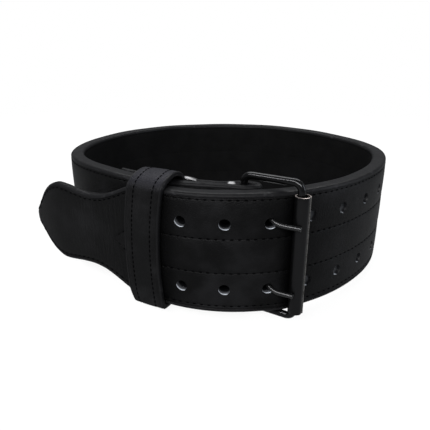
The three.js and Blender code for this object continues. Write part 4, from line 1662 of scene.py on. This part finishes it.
@dataclass
class Prong:
    """A wire prong: an eye round the heel bar, an arm out through the strap, and a tip on the roller."""

    name: str
    row_height: float
    droop: float
    reach: float
    wire: float = 4
    arch: float = 1.2
    eye_rise: float = 0.35
    lifted: float = 3.0
    lift_place: float = 0.50
    lift_reach: float = 0.21
    eye_turns: tuple[float, float] = (78, 285)
    entry: tuple[float, float] = (1.5, -2.2)
    in_wall: tuple[float, float] = (0.5, 0.3)
    mouth: tuple[float, float] = (0.5, 1.9)
    crest_shift: float = 3.4
    crest_shares: tuple[float, float] = (0.12, 0.55)
    touch_shift: float = -0.25
    tip: tuple[float, float] = (1.02, 0.2)
    eye_points: int = 30
    arm_points: int = 46

    def eye_height(self) -> float:
        """The height of the eye."""
        return self.row_height + self.droop * self.eye_rise

    def path(self, buckle: "Buckle") -> np.ndarray:
        """The line of its wire.

        Args:
            buckle: the buckle that it hangs on.

        Returns:
            Points in millimetres.
        """
        strap, heel, gap = buckle.strap, buckle.strap.heel_bar, buckle.strap.gap
        point, ahead, inward = strap.course.place_at(strap.prong_hole)

        def in_hole(depth: float, shift: float) -> np.ndarray:
            """A place in the hole at a depth."""
            return point + inward * depth + ahead * shift

        entry = in_hole(strap.thick + self.entry[0], self.entry[1])
        arm_angle = math.atan2(*(entry - heel)[::-1])
        radius = strap.wire / 2 + gap + self.wire / 2
        first, whole = self.eye_turns
        turns = arm_angle - math.radians(first) - np.radians(np.linspace(whole, 0, self.eye_points))
        eye = heel + radius * np.stack([np.cos(turns), np.sin(turns)], 1)
        on_roller = buckle.roller / 2 + self.wire / 2 + gap

        def by_roller(out: float, on: float) -> np.ndarray:
            """A place by the roller, outwards and ahead of its axis."""
            return buckle.roller_centre + (buckle.out * out + buckle.ahead * on) * on_roller

        crest, touch = in_hole(-self.wire / 2 - self.arch, self.crest_shift), by_roller(1, self.touch_shift)
        inside = in_hole(strap.thick * self.in_wall[0], self.in_wall[1])
        over = [crest + (touch - crest) * share for share in self.crest_shares]
        tip = by_roller(self.tip[0] - self.reach * self.tip[1], self.reach)
        arm = smooth_path(np.array([eye[-1], entry, inside, in_hole(*self.mouth), *over, touch, tip]),
                          self.arm_points)
        flat = np.concatenate([eye, arm[1:]])
        out = np.clip((np.arange(len(flat)) - len(eye) + 1) / (len(arm) - 1), 0, None)
        height = self.row_height + self.droop * (self.eye_rise - out)
        height += self.lifted * np.exp(-((out - self.lift_place) / self.lift_reach) ** 2)
        return raised(flat, height)


@dataclass
class Buckle:
    """The roller buckle: a wire frame, a tube rolled from sheet on its outer bar, and two prongs."""

    place: BeltFrame
    strap: Strap
    pitch: float = 49
    overhang: float = 3.3
    lift: float = 1
    corner: float = 6.5
    roller: float = 12
    roller_length: float = 98
    roller_drop: float = 1
    roller_seam: float = 0.8
    seam_direction: float = -30
    sheet: float = 1.05
    bar_slack: float = 1.3
    prong_share: float = 0.37
    prong_droops: tuple[float, float] = (2.4, 5.2)
    prong_reaches: tuple[float, float] = (0.35, 0.05)
    corner_steps: int = 14
    frame_points: int = 241
    wire_sides: int = 20
    tube_girth: float = 60
    search_points: tuple[int, int] = (4001, 2001)
    wire_end: tuple[float, float] = (0.36, 0.08)
    wire_sharp_from: float = 40
    tube_sides: int = 96
    tube_levels: int = 24
    tube_sharp_from: float = 38
    rim: tuple[tuple[float, float], ...] = ((0.0, 0.30), (0.10, 0.10), (0.35, 0.0))
    rim_inside: float = 0.4
    seam_sinks: tuple[float, float] = (0.18, -0.50)
    seam_sink_reach: float = 0.04

    def __post_init__(self) -> None:
        """Finds the roller, outside the strap and a frame's length from the heel bar."""
        strap, course = self.strap, self.strap.course
        stand_off = self.roller / 2 + strap.gap
        along = np.linspace(strap.tongue_length, course.length / 2, self.search_points[0])
        point, _, inward = course.at(along)
        centre = point - inward * stand_off
        miss = np.abs(np.linalg.norm(centre - strap.heel_bar, axis=1) - self.pitch)
        miss[(centre - strap.heel_bar) @ strap.heel_ahead <= 0] = np.inf
        best = int(np.argmin(miss))
        self.roller_centre = centre[best]
        self.ahead = unit(self.roller_centre - strap.heel_bar)
        self.out = np.array([self.ahead[1], -self.ahead[0]])
        between = strap.heel_bar + (self.roller_centre - strap.heel_bar) * self.prong_share
        near = np.linspace(strap.tongue_length, along[best], self.search_points[1])
        distance = np.linalg.norm(course.at(near)[0] - between, axis=1)
        strap.prong_hole = float(near[int(np.argmin(distance))])
        strap.roller_place, strap.roller_reach = float(along[best]), self.roller / 2
        self.prongs = [Prong(*values) for values in zip(("prong_upper", "prong_lower"), strap.hole_heights(),
                                                        self.prong_droops, self.prong_reaches)]
        strap.prongs = self.prongs

    def frame_path(self) -> np.ndarray:
        """The closed line of the frame's wire."""
        reach = self.strap.width / 2 + self.overhang + self.strap.wire / 2
        far = self.pitch - self.bar_slack
        corners = ((far - self.corner, reach - self.corner, 90), (far - self.corner, self.corner - reach, 0),
                   (self.corner, self.corner - reach, -90), (self.corner, reach - self.corner, -180))
        points = []
        for ahead, up, start in corners:
            for step in range(self.corner_steps + 1):
                turn = math.radians(start - 90 * step / self.corner_steps)
                flat = self.strap.heel_bar + self.ahead * (ahead + self.corner * math.cos(turn))
                points.append((*flat, self.strap.width / 2 + self.lift + up + self.corner * math.sin(turn)))
        points.append(points[0])
        return respace(np.array(points), self.frame_points)[:-1]

    def wire(self, name: str, path: np.ndarray, diameter: float, up: tuple[float, float, float],
             material: bpy.types.Material, closed: bool = False) -> bpy.types.Object:
        """Makes a round wire.

        Args:
            name: the piece's name.
            path: its line, in millimetres.
            diameter: its thickness.
            up: a direction that is never along it.
            material: its finish.
            closed: whether its end joins its start.

        Returns:
            The wire.
        """
        if closed:
            ahead = unit(np.roll(path, -1, 0) - np.roll(path, 1, 0))
        else:
            ahead = unit(np.gradient(path, axis=0))
        side = unit(np.cross(ahead, np.array(up, float)))
        top = np.cross(side, ahead)
        sides = self.wire_sides
        turn = np.linspace(0, 2 * math.pi, sides, endpoint=False)
        radius = np.full(len(path), diameter / 2)
        if not closed:
            path = np.concatenate([path[:1], path, path[-1:]])
            end, step = self.wire_end
            radius = np.concatenate([[diameter * end], radius, [diameter * end]])
            side, top = (np.concatenate([rows[:1], rows, rows[-1:]]) for rows in (side, top))
            path[0] -= ahead[0] * diameter * step
            path[-1] += ahead[-1] * diameter * step
        rings = path[:, None] + radius[:, None, None] * (
            np.cos(turn)[None, :, None] * side[:, None] + np.sin(turn)[None, :, None] * top[:, None])
        skin = Grid(name, self.place)
        girth = np.linspace(0, math.pi * diameter, sides + 1)
        places = np.arange(len(path) + 1, dtype=float)
        skin.loft(rings, [Zone.GRAIN] * sides, places, girth, closed, Zone.GRAIN)
        piece = skin.build([material])
        sharpen(piece, self.wire_sharp_from)
        return piece

    def tube(self, materials: list[bpy.types.Material]) -> bpy.types.Object:
        """Makes the roller, a sheet rolled to a tube with an open seam and softly sheared ends.

        Args:
            materials: the coat, the bare metal of the ends and the edge of the seam.

        Returns:
            The roller.
        """
        outer, sides, length = self.roller / 2, self.tube_sides, self.roller_length
        seam = self.roller_seam / 2 / outer
        turn = math.radians(self.seam_direction) + np.linspace(seam, 2 * math.pi - seam, sides)
        from_seam = np.minimum(np.arange(sides), np.arange(sides)[::-1]) / sides
        sink = np.where(np.arange(sides) < sides / 2, *self.seam_sinks)
        sink = sink * np.exp(-(from_seam / self.seam_sink_reach) ** 2)
        low = (self.strap.width - length) / 2 - self.roller_drop
        middle = ((length * k / self.tube_levels, 0.0) for k in range(1, self.tube_levels))
        levels = [*self.rim, *middle, *((length - rise, inset) for rise, inset in reversed(self.rim))]
        rings = []
        for rise, inset in levels:
            outside = (outer - inset, slice(None))
            inside = (outer - self.sheet + inset * self.rim_inside, slice(None, None, -1))
            ring = []
            for radius, order in (outside, inside):
                reach = (radius + sink)[order][:, None]
                flat = self.roller_centre + reach * np.stack([np.cos(turn[order]), np.sin(turn[order])], 1)
                ring.append(raised(flat, np.full(sides, low + rise)))
            rings.append(np.concatenate(ring))
        skin = Grid("roller_fine", self.place)
        count = 2 * sides
        zones = [Zone.GRAIN] * count
        zones[sides - 1] = zones[count - 1] = Zone.FLESH
        skin.loft(np.array(rings), zones, np.array([rise for rise, _ in levels]),
                  np.linspace(0, self.tube_girth, count + 1), cap=Zone.EDGE)
        self.open_ends(skin, len(levels), sides)
        piece = skin.build(materials)
        sharpen(piece, self.tube_sharp_from)
        return piece

    @staticmethod
    def open_ends(skin: Grid, levels: int, sides: int) -> None:
        """Swaps the tube's two end faces for strips between its outer and inner side.

        Args:
            skin: the tube's skin.
            levels: how many levels it has.
            sides: how many points its outer side has at each.
        """
        for _ in range(2):
            face = skin.faces.pop()
            skin.zones.pop()
            del skin.coords[-len(face):]
        count = 2 * sides
        for level, flip in ((0, False), (levels - 1, True)):
            for k in range(sides - 1):
                corners = [k, count - 1 - k, count - 2 - k, k + 1]
                if flip:
                    corners.reverse()
                skin.faces.append(tuple(level * count + corner for corner in corners))
                skin.coords += [(0.0, 0.0)] * 4
                skin.zones.append(Zone.EDGE.value)
        for i in range(len(skin.zones)):
            level = min(skin.faces[i]) // count
            if level in (0, levels - 2) and skin.zones[i] == Zone.GRAIN.value:
                skin.zones[i] = Zone.EDGE.value


@dataclass(frozen=True)
class SoftBox:
    """A lamp that faces the belt: its name, place and size in metres, power in watts and colour."""

    name: str
    at: tuple[float, float, float]
    size: tuple[float, float]
    power: float
    colour: tuple[float, float, float] = (1, 1, 1)
    aim: tuple[float, float, float] = (0, 0, 0.05)

    def hang(self) -> None:
        """Hangs it in the scene."""
        lamp = bpy.data.lights.new(self.name, "AREA")
        lamp.shape = "RECTANGLE"
        lamp.size, lamp.size_y = self.size
        lamp.energy = self.power
        lamp.color = self.colour
        thing = linked(self.name, lamp)
        thing.location = self.at
        thing.rotation_euler = (Vector(self.aim) - Vector(self.at)).to_track_quat("-Z", "Y").to_euler()


@dataclass
class Studio:
    """The pale floor, the soft lights and the camera."""

    place: BeltFrame
    camera_at: tuple[float, float, float] = (-9.8, -463.3, 199.1)
    looks_down: float = 20.71
    focal_pixels: float = 443
    image_pixels: float = 430
    sensor: float = 36
    floor_radius: float = 1.1
    floor_sides: int = 96
    floor_fades_from: float = 0.42
    floor_fades_to: float = 0.98
    floor_grey: float = 0.55
    floor_glow: float = 0.55
    floor_clear: float = 0.80
    floor_roughness: float = 0.9
    floor_gloss: float = 0.1
    sees: tuple[float, float] = (0.01, 100)
    sky: tuple[float, float, float] = (0.93, 0.96, 1.0)
    sky_strength: float = 0.20
    lamps: tuple[SoftBox, ...] = (
        SoftBox("soft_box_back", (0.0, 0.85, 1.45), (2.2, 0.7), 26),
        SoftBox("soft_box_front", (-0.1, -1.35, 0.95), (1.4, 0.36), 18),
        SoftBox("strip_left", (-0.9, -0.8, 1.07), (1.2, 0.12), 13),
        SoftBox("strip_right", (1.4, -0.2, 0.5), (0.4, 1.0), 6.0, (0.86, 0.91, 1.0)),
    )

    def floor(self) -> None:
        """Lays a round pale floor that fades into the white of the studio."""
        turn = np.linspace(0, 2 * math.pi, self.floor_sides, endpoint=False)
        rim = [(math.cos(a) * self.floor_radius, math.sin(a) * self.floor_radius, 0.0) for a in turn]
        mesh = bpy.data.meshes.new("studio_floor")
        mesh.from_pydata(rim, [], [tuple(range(len(rim)))])
        floor = linked("studio_floor", mesh)
        shader = Shader("pale_floor")
        shader.set(Base_Color=(*[self.floor_grey] * 3, 1), Roughness=self.floor_roughness,
                   Specular_IOR_Level=self.floor_gloss)
        shader.set(Emission_Color=(1, 1, 1, 1), Emission_Strength=self.floor_glow)
        away = shader.node("ShaderNodeVectorMath", {"operation": "LENGTH"}, {0: shader.place()})
        gone = Maths(shader, away.outputs["Value"]).spread(
            self.floor_fades_from, self.floor_radius * self.floor_fades_to, self.floor_clear, 1)
        clear = shader.node("ShaderNodeBsdfTransparent")
        mixed = shader.node("ShaderNodeMixShader", {}, {"Fac": gone, 1: shader.surface.outputs[0],
                                                        2: clear.outputs[0]})
        shader.feed(shader.tree.nodes["Material Output"].inputs["Surface"], mixed.outputs[0])
        mesh.materials.append(shader.material)

    def lights(self) -> None:
        """Sets a sky that is white to the camera and dim to the belt, and hangs the lamps."""
        scene = bpy.context.scene
        scene.view_settings.view_transform = "Standard"
        world = bpy.data.worlds.new("studio")
        world.use_nodes = True
        tree = world.node_tree
        seen, dim = tree.nodes["Background"], tree.nodes.new("ShaderNodeBackground")
        for sky, colour, strength in ((seen, (1, 1, 1), 1.0), (dim, self.sky, self.sky_strength)):
            sky.inputs["Color"].default_value = (*colour, 1)
            sky.inputs["Strength"].default_value = strength
        path = tree.nodes.new("ShaderNodeLightPath")
        either = tree.nodes.new("ShaderNodeMixShader")
        tree.links.new(path.outputs["Is Camera Ray"], either.inputs["Fac"])
        tree.links.new(dim.outputs[0], either.inputs[1])
        tree.links.new(seen.outputs[0], either.inputs[2])
        tree.links.new(either.outputs[0], tree.nodes["World Output"].inputs["Surface"])
        scene.world = world
        for lamp in self.lamps:
            lamp.hang()

    def camera(self) -> None:
        """Stands the camera where the belt is seen from the front and a little above."""
        lens = bpy.data.cameras.new("camera")
        lens.sensor_width = self.sensor
        lens.lens = self.focal_pixels / self.image_pixels * self.sensor
        lens.clip_start, lens.clip_end = self.sees
        thing = linked("camera", lens)
        tilt = Matrix.Rotation(math.radians(90 - self.looks_down), 4, "X")
        thing.matrix_world = self.place.matrix() @ Matrix.Translation(Vector(self.camera_at) * MM) @ tilt
        bpy.context.scene.camera = thing


def main() -> None:
    """Builds the belt piece by piece and sets it in the studio."""
    logging.basicConfig(level=logging.INFO, format="%(name)s: %(message)s")
    place, course = BeltFrame(), Course()
    studio = Studio(place)
    studio.camera()
    studio.floor()
    studio.lights()
    keeper = Keeper(place, course)
    strap = Strap(place, course)
    keeper.fit(strap)
    strap.keeper = keeper
    buckle = Buckle(place, strap)
    edge, flesh = PaintedEdge("painted_edge").material(), SuedeSide("suede_side").material()
    walls = PunchedWall("punched_wall").material()
    grain = GrainLeather("strap_grain").material()
    settle(strap.body([grain, edge, flesh, walls]), Slot.STRAP, "belt_strap")
    # The keeper's crest height paints its top paler, a painted highlight.
    keeper_grain = GrainLeather("keeper_grain", dark=(0.0050, 0.0050, 0.0053), pale=(0.0140, 0.0140, 0.0150),
                                wrinkle_depth=0.0, crest=0.1045)
    settle(keeper.band([keeper_grain.material(), edge, flesh]), Slot.KEEPER, "keeper_loop")
    thread = Stitcher(place, WaxedThread("waxed_thread").material())
    settle(thread.sew("strap_stitches", strap.stitch_rows(), strap.sewing), Slot.STRAP)
    settle(thread.sew("keeper_stitches", keeper.stitch_rows(), keeper.sewing), Slot.KEEPER)
    steel = BlackSteel("black_steel").material()
    wire = buckle.wire("buckle_frame_fine", buckle.frame_path(), strap.wire, (*buckle.out, 0), steel,
                       closed=True)
    settle(wire, Slot.METAL, "buckle_frame")
    finishes = (BlackSteel("roller_steel", coat=(0.022, 0.022, 0.023), roughness=0.33), BareRim("bare_rim"),
                BareRim("seam_edge", bare=(0.24, 0.235, 0.23), stained=(0.08, 0.075, 0.07)))
    settle(buckle.tube([finish.material() for finish in finishes]), Slot.METAL, "roller")
    prong_steel = BlackSteel("prong_steel", coat=(0.052, 0.052, 0.053), roughness=0.27, rub=0.60).material()
    for prong in buckle.prongs:
        piece = buckle.wire(prong.name + "_fine", prong.path(buckle), prong.wire, (0, 0, 1), prong_steel)
        settle(piece, Slot.METAL, prong.name)
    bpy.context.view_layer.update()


if __name__ == "__main__":
    main()
